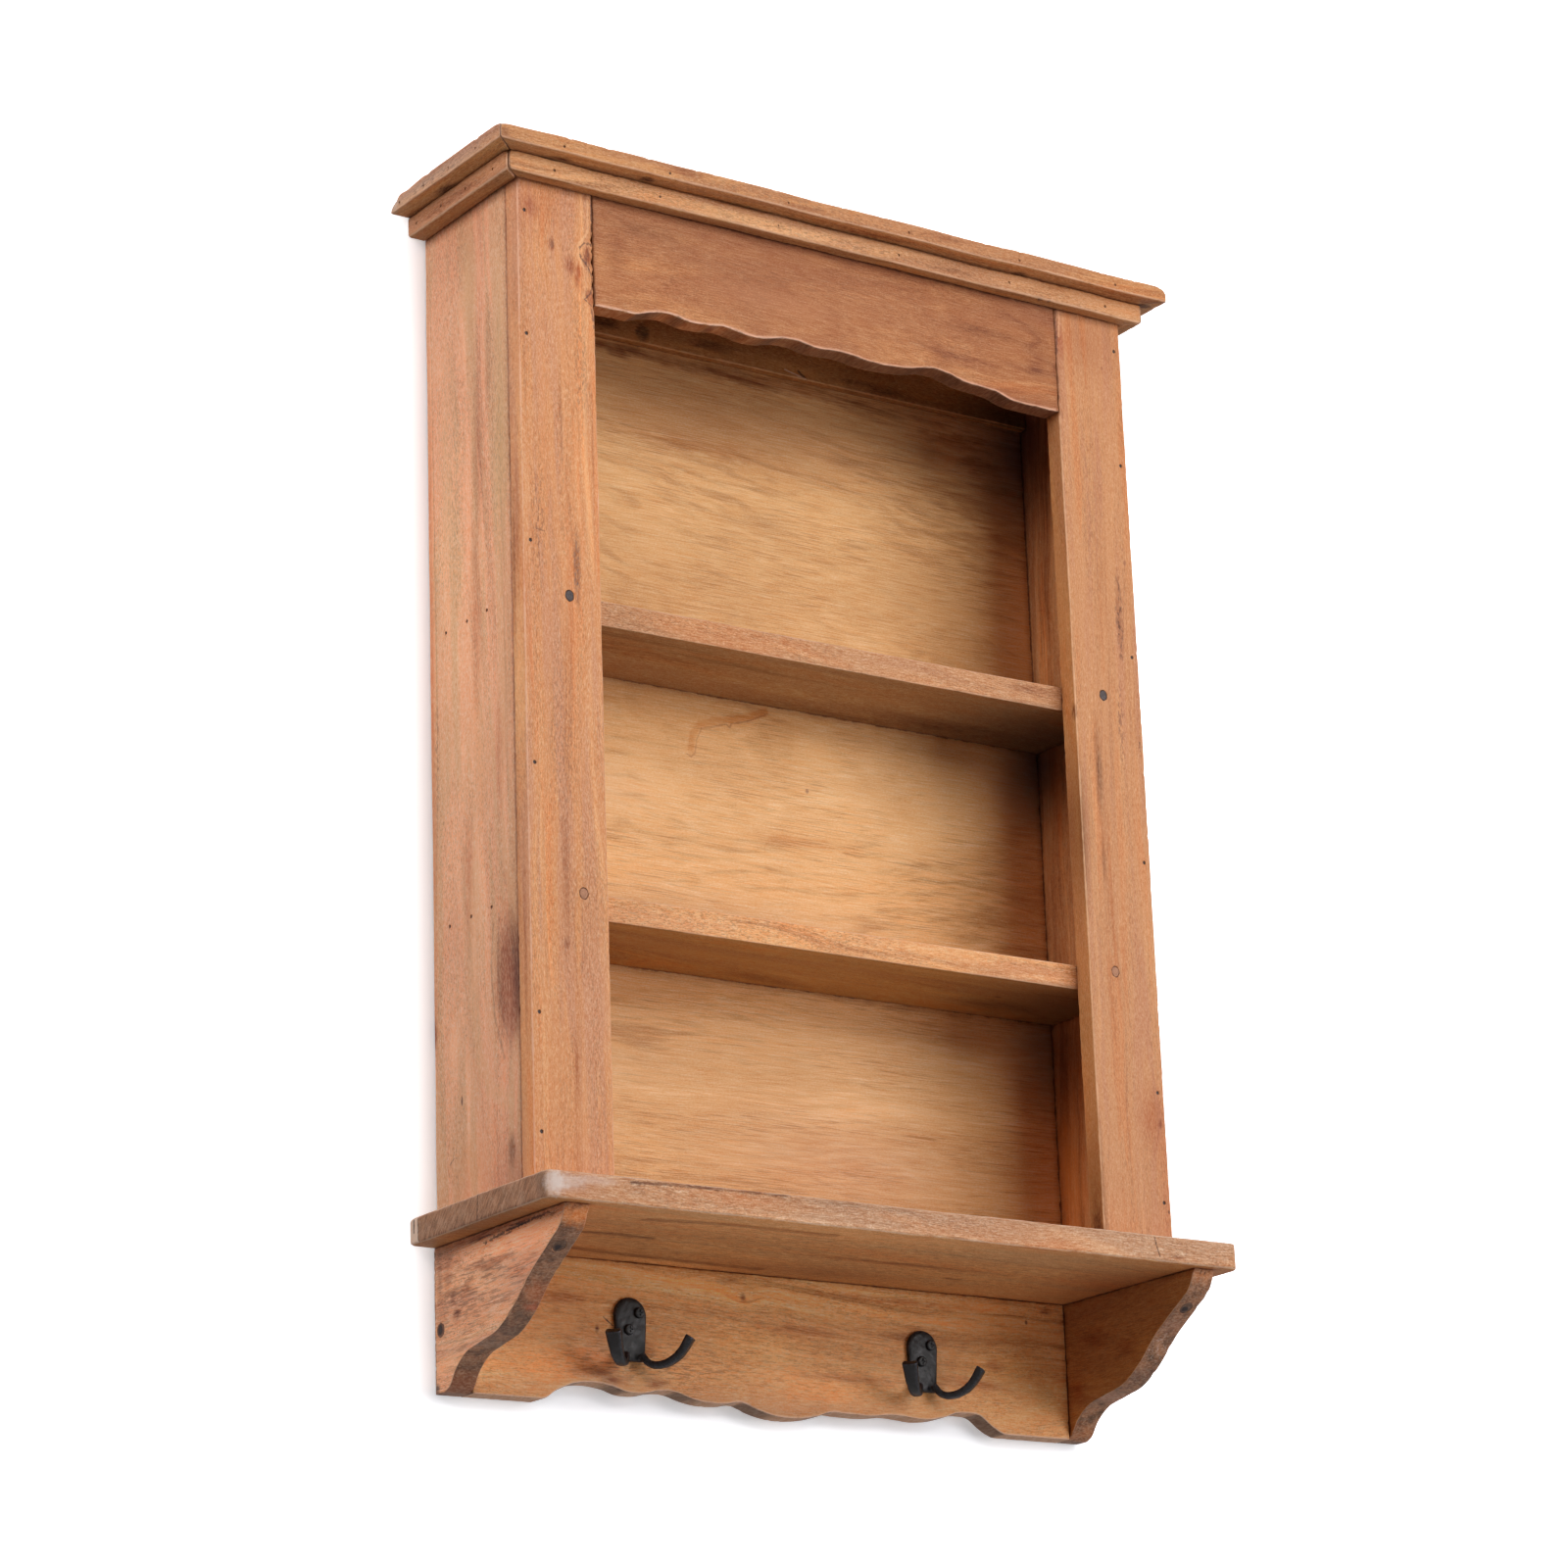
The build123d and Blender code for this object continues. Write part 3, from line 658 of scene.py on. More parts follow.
def smooth(places, values, slopes, x):
    """A smooth curve through the values at places, read at x."""
    i = np.clip(np.searchsorted(places, x) - 1, 0, len(places) - 2)
    span = places[i + 1] - places[i]
    t = (x - places[i]) / span
    return (
        values[i] * (2 * t**3 - 3 * t**2 + 1)
        + values[i + 1] * (3 * t**2 - 2 * t**3)
        + slopes[i] * span * (t**3 - 2 * t**2 + t)
        + slopes[i + 1] * span * (t**3 - t**2)
    )


def wavy_place(node, scallop, places, rises):
    """Lifts a board's lower edge into waves, flat at both ends."""
    low, high = solid_boxes[node]
    places, rises = np.array(places), np.array(rises)
    slopes = np.gradient(rises, places)
    slopes[[0, 1, -2, -1]] = 0

    def place(points):
        result = points + low
        share = np.clip(points[:, 0] / (high[0] - low[0]), places[0], places[-1])
        rise = smooth(places, rises, slopes, share) * scallop
        height = high[2] - low[2]
        result[:, 2] = low[2] + rise + points[:, 2] * (height - rise) / height
        return result

    return place


for name, scallop, places, rises, step, seed, chew in (
    ("valance", 12.5, valance_places, valance_rises, 2.6, 41, 0.9),
    ("hook_board", 14.5, hook_places, hook_rises, 2.8, 42, 0.6),
):
    waves = wavy_place(name, scallop, places, rises)
    pieces[name] = slab(name, place=waves, radius=1.3, step=step, seed=seed, chew=chew)


def rounded_corners(corner):
    """Turns the two front corners of the bottom board into quarter circles in plan."""
    size = board_high - board_low

    def place(points):
        result = points.copy()
        for centre_x, outward in ((corner, -1), (size[0] - corner, 1)):
            x = (points[:, 0] - centre_x) / corner * outward
            y = (corner - points[:, 1]) / corner
            inside = (x > 0) & (y > 0)
            x, y = x * inside, y * inside
            result[inside, 0] = (centre_x + outward * corner * x * np.sqrt(1 - y * y / 2))[inside]
            result[inside, 1] = (corner - corner * y * np.sqrt(1 - x * x / 2))[inside]
        return result + board_low

    return place


pieces["bottom_board"] = slab(
    "bottom_board", place=rounded_corners(10), radius=(2.5, 2.5, 0.5), step=3, seed=43, waver=0.18, chew=0.6
)


def front_nails(front_out, level):
    places = [HALF_WIDTH * share for share in (-0.91, -0.58, -0.2, 0.2, 0.58, 0.92)]
    return [((x, -DEPTH - front_out, level), FRONTWARD) for x in places]


def return_nails(side, side_out, level):
    places = [-DEPTH * share for share in (0.1, 0.37, 0.64, 0.935)]
    return [((side * (HALF_WIDTH + side_out), y, level), (side, 0, 0)) for y in places]


def moulding_place(side_out, front_out, bottom):
    """Sets a strip into the front of the cornice, its ends mitred."""

    def place(points):
        half = HALF_WIDTH + side_out * (1 - points[:, 1] / front_out)
        share = points[:, 0] / (2 * (HALF_WIDTH + side_out)) * 2 - 1
        return np.stack([share * half, points[:, 1] - (DEPTH + front_out), points[:, 2] + bottom], axis=1)

    return place


def return_place(side, side_out, front_out, bottom):
    """Sets a strip along one side of the cornice, its front end mitred."""

    def place(points):
        length = DEPTH + front_out * points[:, 0] / side_out
        share = points[:, 1] / (DEPTH + front_out)
        x = side * (HALF_WIDTH + points[:, 0])
        return np.stack([x, -length * (1 - share), points[:, 2] + bottom], axis=1)

    return place


# Worn corners of the cornice: where, how far round it, and the push.
corner_wear = (
    ((-311.7, -160.5, 795.3), (9, 9, 6), (1.6, 1.6, -1)),
    ((311.7, -160.5, 795.3), (9, 9, 7), (-2, 2, -1.4)),
    ((-311.7, 0, 795.3), (10, 16, 12), (2.6, -5, -3)),
    ((-311.7, -24, 795.3), (8, 24, 8), (0.8, 0, -1.4)),
    ((-297, -146, 781.3), (7, 7, 7), (1.4, 1.4, -1)),
    ((-297, -146, 766.2), (7, 7, 6), (1.6, 1.6, 1.2)),
    ((194, -146, 766.2), (7, 6, 5), (0, 1.6, 1.4)),
    ((-206, -146, 766.2), (12, 5, 4), (0, 0.8, 0.8)),
)
for layer, side_out, front_out, height, edge, bottom, nail_level in (
    ("upper_moulding", UPPER_OUT, UPPER_AHEAD, 12.4, 1.3, carcass_top - 12.4 + TALLER, carcass_top - 6.2),
    ("lower_moulding", LOWER_OUT, LOWER_AHEAD, 14.4 + TALLER, 2.2, carcass_top - 26.8, carcass_top - 19.6),
):
    worn_strip = {"radius": edge, "step": 2.4, "waver": 0.3, "chew": 0.9, "dents": corner_wear}
    pieces[layer + "_front"] = slab(
        layer + "_front",
        place=moulding_place(side_out, front_out, bottom),
        size=(2 * (HALF_WIDTH + side_out), front_out, height),
        holes=((front_nails(front_out, nail_level), 1.1, 0.8),),
        seed=51,
        **worn_strip,
    )
    for side, end in SIDES:
        pieces[layer + "_" + end] = slab(
            layer + "_" + end,
            place=return_place(side, side_out, front_out, bottom),
            size=(side_out, DEPTH + front_out, height),
            holes=((return_nails(side, side_out, nail_level), 1.1, 0.8),),
            seed=53 + side,
            **worn_strip,
        )

# The scrolled edge of the brackets, from the front down to the wall, as shares of depth and drop.
bracket_depths = [1, 0.958, 0.873, 0.721, 0.597, 0.49, 0.349, 0.237, 0.163, 0.107, 0.073]
bracket_drops = [0, 0.133, 0.233, 0.4, 0.581, 0.69, 0.741, 0.784, 0.867, 0.975, 1]
BRACKET_DEPTH, BRACKET_DROP, BRACKET_THICKNESS, BRACKET_OUTER = 177.5, 104.5, 20, 285
SCROLL_LENGTH = 210


def bracket_place(side):
    """Bends a plain board into a bracket: its first side becomes the scrolled edge."""
    shares = zip(bracket_depths, bracket_drops)
    knots = np.array([(-BRACKET_DEPTH * d, board_bottom - BRACKET_DROP * z) for d, z in shares])
    chord = np.concatenate([[0], np.cumsum(np.linalg.norm(np.diff(knots, axis=0), axis=1))])
    fine = np.linspace(0, chord[-1], 400)
    path = [smooth(chord, knots[:, axis], np.gradient(knots[:, axis], chord), fine) for axis in (0, 1)]
    scroll = np.stack(path, axis=1)
    along = np.concatenate([[0], np.cumsum(np.linalg.norm(np.diff(scroll, axis=0), axis=1))])
    near, far = 4.0, BRACKET_DEPTH

    def place(points):
        share = points[:, 2] / SCROLL_LENGTH
        front = np.stack([np.interp(share * along[-1], along, scroll[:, axis]) for axis in (0, 1)], axis=1)
        rear = np.stack([np.zeros(len(points)), board_bottom - BRACKET_DROP * share], axis=1)
        length = np.linalg.norm(rear - front, axis=1)
        u = points[:, 1]
        between = near + (u - near) / (far - 2 * near) * (length - 2 * near)
        distance = np.where(u < near, u, np.where(u > far - near, length - (far - u), between))
        flat = front + (rear - front) * (distance / length)[:, None]
        inner = BRACKET_OUTER - BRACKET_THICKNESS if side > 0 else -BRACKET_OUTER
        return np.stack([inner + points[:, 0], flat[:, 0], flat[:, 1]], axis=1)

    return place


for side, end in SIDES:
    pieces["bracket_" + end] = slab(
        "bracket_" + end,
        place=bracket_place(side),
        size=(BRACKET_THICKNESS, BRACKET_DEPTH, SCROLL_LENGTH),
        holes=(
            ([((side * BRACKET_OUTER, -9, -70), (side, 0, 0))], PLUG, 5),
            ([((side * 275, -153, -36), (0, 0, -1))], PLUG, 11),
        ),
        radius=1.3,
        step=2.8,
        seed=61 + side,
        chew=0.7,
    )

# Robe hooks: a plate and two arms, cast in one.

ARM_REACH = (0, 0.1, 0.22, 0.38, 0.58, 0.76, 0.9, 1)
ARM_RISE = (0.42, 0.16, 0.03, 0, 0.1, 0.36, 0.68, 1)
PLATE_HEIGHT, PLATE_BACK = 46.5, -18


def closed_rings(rings):
    """Points and faces of a closed shell through rings of equally many points."""
    count, around = len(rings), len(rings[0])
    step = np.arange(around)
    ahead = (step + 1) % around
    faces = [tuple(range(around))[::-1], tuple(range((count - 1) * around, count * around))]
    for here in range(0, (count - 1) * around, around):
        there = here + around
        faces += np.stack([here + step, here + ahead, there + ahead, there + step], axis=1).tolist()
    return np.concatenate(rings), faces


def joined(shells):
    """Points and faces of several shells as one."""
    points, faces = [], []
    for shell_points, shell_faces in shells:
        faces += [tuple(index + len(points) for index in face) for face in shell_faces]
        points += shell_points.tolist()
    return np.array(points), faces


def hook_plate(centre_x, top):
    """An upright plate, round at the top and slightly crowned."""
    turn = np.linspace(0, math.pi, 25)
    arc = np.stack([13.5 * np.cos(turn), 33 + 13.5 * np.sin(turn)], axis=1)
    outline = np.concatenate([arc, [(-12.4, 16), (-11.2, 0), (11.2, 0), (12.4, 16)]])
    rings = []
    for depth, inset in ((PLATE_BACK, 0), (-20.6, 0), (-21.5, 0.5), (-22, 1.8), (-22.2, 5)):
        ring = (outline - (0, 25)) * (1 - inset / 13.5) + (0, 25)
        ring_y = np.full(len(ring), depth)
        rings.append(np.stack([centre_x + ring[:, 0], ring_y, top - PLATE_HEIGHT + ring[:, 1]], axis=1))
    return closed_rings(rings)


def hook_arm(centre_x, foot, side):
    """A J-shaped arm that widens to a squared tip, its inner side hollow."""
    t = np.linspace(0, 1, 32)
    keys = np.linspace(0, 1, len(ARM_REACH))
    reach = np.polyval(np.polyfit(keys, ARM_REACH, 5), t) * 36
    rise = np.polyval(np.polyfit(keys, ARM_RISE, 5), t) * 19
    splay = math.radians(46)
    outward = np.array([side * math.sin(splay), -math.cos(splay), 0])
    across = np.array([outward[1], -outward[0], 0])
    root = np.array([centre_x + side * 7, -23.7, foot - 3.3])
    path = root + reach[:, None] * outward + rise[:, None] * np.array([0, 0, 1])
    along = np.gradient(path, axis=0)
    along /= np.linalg.norm(along, axis=1)[:, None]
    angle = np.linspace(0, 2 * math.pi, 24, endpoint=False)
    wide, thick = (np.sign(wave) * np.abs(wave) ** 0.55 for wave in (np.cos(angle), np.sin(angle)))
    rings = []
    for share, middle, direction in zip(t, path, along):
        inner = np.cross(across, direction)
        half_width = np.interp(share, (0, 0.45, 0.85, 1), (3.4, 4.1, 5.4, 5.9))
        half_thickness = np.interp(share, (0, 0.4, 1), (2.6, 2.8, 3.8))
        hollow = 0.42 * share * np.clip(thick, 0, 1) * (1 - wide**2)
        aside = (wide * half_width)[:, None] * across
        rings.append(middle + aside + ((thick - hollow) * half_thickness)[:, None] * inner)
    return closed_rings(rings)


def cast(name, node, shells, holes, seed):
    """Melts overlapping shells into one smooth cast piece."""
    lump = place_object("lump", mesh_of("shells", *joined(shells)))
    melt = lump.modifiers.new("melt", "REMESH")
    melt.mode = "VOXEL"
    melt.voxel_size = 0.55 * MM
    soften = lump.modifiers.new("soften", "SMOOTH")
    soften.factor = 0.5
    soften.iterations = 7
    result = evaluated(lump)
    bpy.data.objects.remove(lump)
    count = len(result.vertices)
    points = read(result.vertices, "co", 3).astype(float) / MM
    normals = read(result.vertices, "normal", 3)
    edges = read(result.edges, "vertices", 2, np.int32)
    first, second = edges.T
    valence = np.bincount(edges.ravel(), minlength=count)

    def neighbours(values):
        total = np.zeros_like(values)
        np.add.at(total, first, values[second])
        np.add.at(total, second, values[first])
        return (total.T / valence).T

    bulge = ((points - neighbours(points)) * normals).sum(axis=1)
    for _ in range(4):
        bulge = neighbours(bulge)
    faces = [tuple(face.vertices) for face in result.polygons]
    points = points + 0.1 * ripples(points, 6, seed)
    return make_piece(name, node, points, faces, bulge * 20, holes, smooth_angle=60)


for side, end, drop in ((-1, "left", 26.5), (1, "right", 31)):
    centre_x, top = -3.6 + side * 130, board_bottom - drop
    screws = [((centre_x + x, PLATE_BACK, top - down), FRONTWARD) for x, down in ((6.2, 11.2), (-2.6, 24))]
    shells = [hook_plate(centre_x, top)] + [hook_arm(centre_x, top - PLATE_HEIGHT, arm) for arm in (-1, 1)]
    node = "robe_hook_" + end
    pieces[node] = cast("hook_" + end, node, shells, ((screws, 2.2, 9),), 71 + side)


# From the middle of a plug to its rim and down its side: share of its radius, and how far sunk.
PLUG_RINGS = ((0.05, -0.05), (0.4, -0.04), (0.7, 0), (0.86, 0.06), (0.95, 0.25), (1, 0.7), (1, 4.5))


def plug_discs(name, node, places, radius, seed):
    """Wooden plugs, a little taller than wide and a little sunk at their rims."""
    turn = np.linspace(0, 2 * math.pi, 32, endpoint=False)
    shells, rim = [], []
    for (x, y, z), _ in places:
        rings = []
        for share, sunk in PLUG_RINGS:
            reach = radius * share * (1 + 0.03 * np.sin(3 * turn + seed))
            ring_y = np.full(32, y + sunk, float)
            ring_x, ring_z = x + np.cos(turn) * reach / 1.08, z + np.sin(turn) * reach * 1.08
            rings.append(np.stack([ring_x, ring_y, ring_z], axis=1))
            rim += [radius * (1 - share)] * 32
        shells.append(closed_rings(rings))
    pieces[node] = make_piece(name, node, *joined(shells), np.array(rim))


for number, tone in enumerate(("dark", "light")):
    places = [stile_plug_places[end][number] for _, end in SIDES]
    plug_discs("plugs_" + tone, "stile_plugs_" + tone, places, 4, 5 + number)

# The wood of each board.

ALONG_X_FRONT, ALONG_X_FLAT = (0, 2, 1), (0, 1, 2)
ALONG_Z_FRONT, ALONG_Z_SIDE = (2, 0, 1), (2, 1, 0)
ALONG_Y_SIDE = (1, 2, 0)
# Light, middle, dark and second tone of each board.
palettes = {
    "stile_left": ((230, 168, 115), (214, 147, 97), (187, 120, 77), (203, 142, 105)),
    "stile_right": ((215, 156, 107), (198, 138, 93), (175, 113, 72), (187, 126, 92)),
    "side_panel_left": ((252, 189, 147), (237, 169, 131), (201, 135, 102), (216, 164, 124)),
    "side_panel_right": ((230, 172, 118), (207, 147, 98), (164, 104, 64), (179, 116, 75)),
    "valance": ((187, 124, 77), (168, 105, 62), (140, 82, 47), (158, 96, 60)),
    "upper_shelf": ((210, 156, 110), (194, 138, 95), (161, 107, 67), (180, 124, 87)),
    "lower_shelf": ((248, 185, 127), (230, 166, 109), (191, 127, 79), (213, 148, 101)),
    "top_board": ((220, 164, 118), (204, 146, 102), (170, 114, 76), (188, 130, 96)),
    "back_panel": ((249, 200, 143), (239, 185, 126), (209, 153, 97), (223, 167, 109)),
    "hanging_rail": ((191, 136, 78), (169, 115, 63), (136, 87, 44), (147, 96, 53)),
    "bottom_board": ((219, 165, 122), (200, 144, 102), (161, 110, 75), (185, 142, 110)),
    "hook_board": ((249, 195, 132), (244, 175, 112), (200, 132, 75), (228, 157, 93)),
    "bracket_left": ((255, 206, 160), (250, 181, 137), (207, 138, 95), (215, 150, 119)),
    "bracket_right": ((210, 148, 89), (189, 125, 68), (146, 88, 44), (162, 102, 58)),
    "upper_moulding": ((204, 144, 92), (187, 126, 79), (153, 94, 56), (172, 115, 77)),
    "lower_moulding": ((223, 166, 117), (207, 149, 101), (170, 114, 72), (188, 131, 91)),
}


def dress(piece, material):
    """Gives a piece its one material."""
    piece.data.materials.clear()
    piece.data.materials.append(material)


def board_wood(name, axes, **settings):
    """Paints one board with its own palette."""
    palette = palettes.get(name) or palettes[name.rsplit("_", 1)[0]]
    dress(pieces[name], wood("wood_" + name, name, axes, palette, **settings))


stile_left_front = (
    ("paint", -263, 560, 7, 230, (224, 146, 92), 0.3, 1, 0.4),
    ("paint", -227, 560, 3, 150, (234, 184, 134), 0.3, 1, 0.5),
    ("paint", -246, 560, 3, 120, (228, 170, 122), 0.2, 1, 0.5),
    ("tint", -236.6, 470, 4.4, 40, (186, 172, 166), 0.9, 0.8, 0.6),
    ("dashes", -236.6, 468, 4.4, 36, (116, 92, 80), 0.8, 0.7, 0.6),
    ("tint", -248, 590, 2.4, 60, (205, 186, 174), 0.7, 1, 0.5),
    ("tint", -221, 560, 1.6, 90, (206, 176, 160), 0.7),
    ("tint", -252.5, 719.5, 4, 8, (196, 160, 142), 0.9, 0.8),
    ("paint", -252.3, 719.6, 1.7, 4.2, (126, 76, 54), 0.85, 0.6, 0.6),
    ("tint", -237, 706, 7, 10, (188, 140, 120), 0.9, 0.8, 1.2),
    ("tint", -230, 700, 5, 16, (206, 160, 138), 0.9, 0.8, 1.2),
    ("tint", -270, 747, 10, 12, (214, 186, 182), 0.8, 0.8, 1),
    (
        "line", ((-220.4, 762), (-221, 736), (-229.8, 724), (-229.2, 713), (-225.4, 707)),
        (238, 190, 142), 0.45, 1.2, 0.8,
    ),
    ("line", ((-217.2, 768), (-217.6, 745), (-218.2, 726)), (92, 58, 52), 0.9, 1.1, 0.8),
    ("tint", -222, 716, 6, 9.5, (182, 140, 122), 0.9, 0.6, 1.5),
    ("tint", -220, 684, 5.4, 8.5, (190, 148, 130), 0.85, 0.6, 1.5),
    ("dashes", -221, 712, 7, 16, (92, 60, 50), 0.6, 0.8, 1),
    (
        "line",
        (
            (-218.4, 727), (-224.6, 726.6), (-228.4, 722), (-227.4, 714), (-223.4, 710.6), (-218.8, 704),
            (-217.6, 695), (-219.8, 687), (-225, 681.6), (-219.4, 677.6), (-217.6, 660),
        ),
        (98, 64, 54),
        0.85,
        1,
        1,
    ),
    # Painted shade: a darker strip by the outer edge, the shadow of the cornice at the top and a slight shade
    # low down.
    ("tone", -278, 430, 13, 150, (0.9, 0.84, 0.88)),
    ("tone", -266, 748, 46, 42, (0.88, 0.78, 0.74)),
    ("tone", -240, 215, 40, 60, (0.97, 0.95, 0.86)),
    ("line", ((-271, 493.4), (-264, 492.6)), (140, 88, 64), 0.7, 0.8, 0.3),
    ("line", ((-266, 509), (-265.4, 502)), (160, 104, 76), 0.6, 0.8, 0.4),
    ("dashes", -268, 500, 9, 70, (122, 76, 54), 0.55, 0.8, 0.6),
    ("dashes", -230, 620, 9, 80, (126, 82, 60), 0.5, 0.9, 0.6),
    ("dashes", -252, 330, 16, 120, (128, 84, 62), 0.5, 0.9, 0.6),
    ("tint", -252, 186, 4, 7, (190, 160, 150), 0.8, 0.8),
    ("tint", -252, 240, 5, 90, (220, 202, 190), 0.8, 1, 0.6),
    ("tint", -246, 92, 3, 40, (214, 186, 170), 0.8, 1, 0.6),
    ("paint", -240, 60, 14, 60, (228, 164, 112), 0.3, 1, 0.6),
)
stile_left_side = (
    ("tint", -126, 500, 6, 90, (206, 180, 174), 0.8, 1, 0.7),
    ("tint", -121, 470, 3.4, 80, (168, 140, 134), 0.8, 1, 0.9),
    ("line", ((-118, 740), (-118.3, 400), (-118, 60)), (150, 104, 80), 0.45, 1, 0.6),
    ("tint", -127, 180, 3.4, 120, (206, 176, 164), 0.8, 1, 0.7),
)
board_wood(
    "stile_left", ALONG_Z_FRONT, pith=(-160, 20), tilt=0.015, seed=1.3, blotch_size=(190, 14, 30), blotch=0.8,
    contrast=1, wear=0.6, wear_colour=(232, 182, 154), dirt=0.4,
    # Painted light on the outer side, painted shade on the side facing the opening.
    faces=((0, -1, (1.1, 1.08, 1.1)), (0, 1, (0.9, 0.9, 0.85))),
    knots=(((-252, -DEPTH, 719), (12, 20, 22), 5), ((-266, -DEPTH, 498), (8, 14, 12), 3)),
    marks=((1, -DEPTH, stile_left_front), (0, -HALF_WIDTH, stile_left_side)),
)
stile_right_front = (
    ("paint", 276.5, 109, 3, 5.4, (136, 74, 46), 0.85, 0.8, 0.7),
    ("tint", 268, 112, 20, 46, (226, 190, 170), 0.8, 1, 0.5),
    ("tint", 236, 385, 5.4, 62, (166, 158, 158), 0.95, 1, 0.5),
    ("tint", 236, 312, 3, 30, (200, 188, 180), 0.9, 0.9, 0.6),
    ("dashes", 265.4, 515, 4.6, 46, (116, 74, 54), 0.9, 0.5, 0.5),
    ("tint", 265.4, 515, 5, 50, (205, 186, 176), 0.9, 1, 0.6),
    ("dashes", 261, 425, 4, 50, (140, 90, 66), 0.7, 0.5, 0.5),
    ("dashes", 278.4, 412, 1.8, 12, (112, 66, 46), 0.9, 0.4, 0.5),
    ("dashes", 240, 600, 14, 120, (140, 92, 66), 0.4, 1, 0.6),
    ("paint", 274, 562, 2, 3.2, (150, 92, 66), 0.7, 0.7, 1),
    ("paint", 272.6, 573, 1.6, 2.8, (160, 100, 72), 0.7, 0.7, 1),
    ("paint", 262.4, 725, 1.5, 2.2, (160, 98, 68), 0.8, 0.7, 0.6),
    ("paint", 216.6, 691.5, 1.6, 2.4, (120, 72, 50), 0.8, 0.5, 0.6),
    ("paint", 279.9, 41.6, 1.1, 2, (92, 50, 34), 0.9, 0.4, 0.6),
    ("tint", 215.8, 430, 2.4, 10, (140, 100, 80), 0.9, 0.5),
    ("tint", 222, 740, 7, 20, (240, 208, 196), 0.9),
    (
        "line", ((217.6, 777), (219, 766), (217.4, 755), (218.2, 742), (217, 728)),
        (120, 76, 58), 0.75, 1.3, 0.8,
    ),
    ("line", ((221.4, 775), (221.6, 758), (220.4, 744)), (238, 186, 140), 0.6, 1.1, 0.7),
    # Painted shade along the inner edge and under the cornice at the top, and a warmer painted shade low down
    # by the outer edge.
    ("tone", 214, 335, 18, 90, (0.7, 0.64, 0.58)),
    ("tone", 284, 70, 20, 150, (0.96, 0.8, 0.7)),
    ("tone", 246, 742, 60, 46, (0.84, 0.76, 0.74)),
)
stile_right_inner = (
    # Painted shade on the inner face of the stile, at mid height and near the bottom.
    ("tone", -126, 335, 30, 100, (0.56, 0.5, 0.46)),
    ("tone", -126, 50, 30, 90, (0.6, 0.54, 0.48)),
    ("tint", -126, 26, 9, 26, (150, 120, 104), 0.9, 0.8),
)
board_wood(
    "stile_right", ALONG_Z_FRONT, pith=(140, 30), tilt=0.02, seed=4.1, blotch_size=(170, 16, 30), blotch=0.6,
    contrast=0.8, figure=0.75, specks=0.28, wear=0.6, wear_colour=(238, 190, 150),
    # Painted light on the inner side.
    faces=((0, -1, (1.06, 1.08, 0.96)),),
    knots=(((276, -DEPTH, 110), (14, 20, 26), 9),),
    marks=((1, -DEPTH, stile_right_front), (0, OPENING_HALF, stile_right_inner)),
)
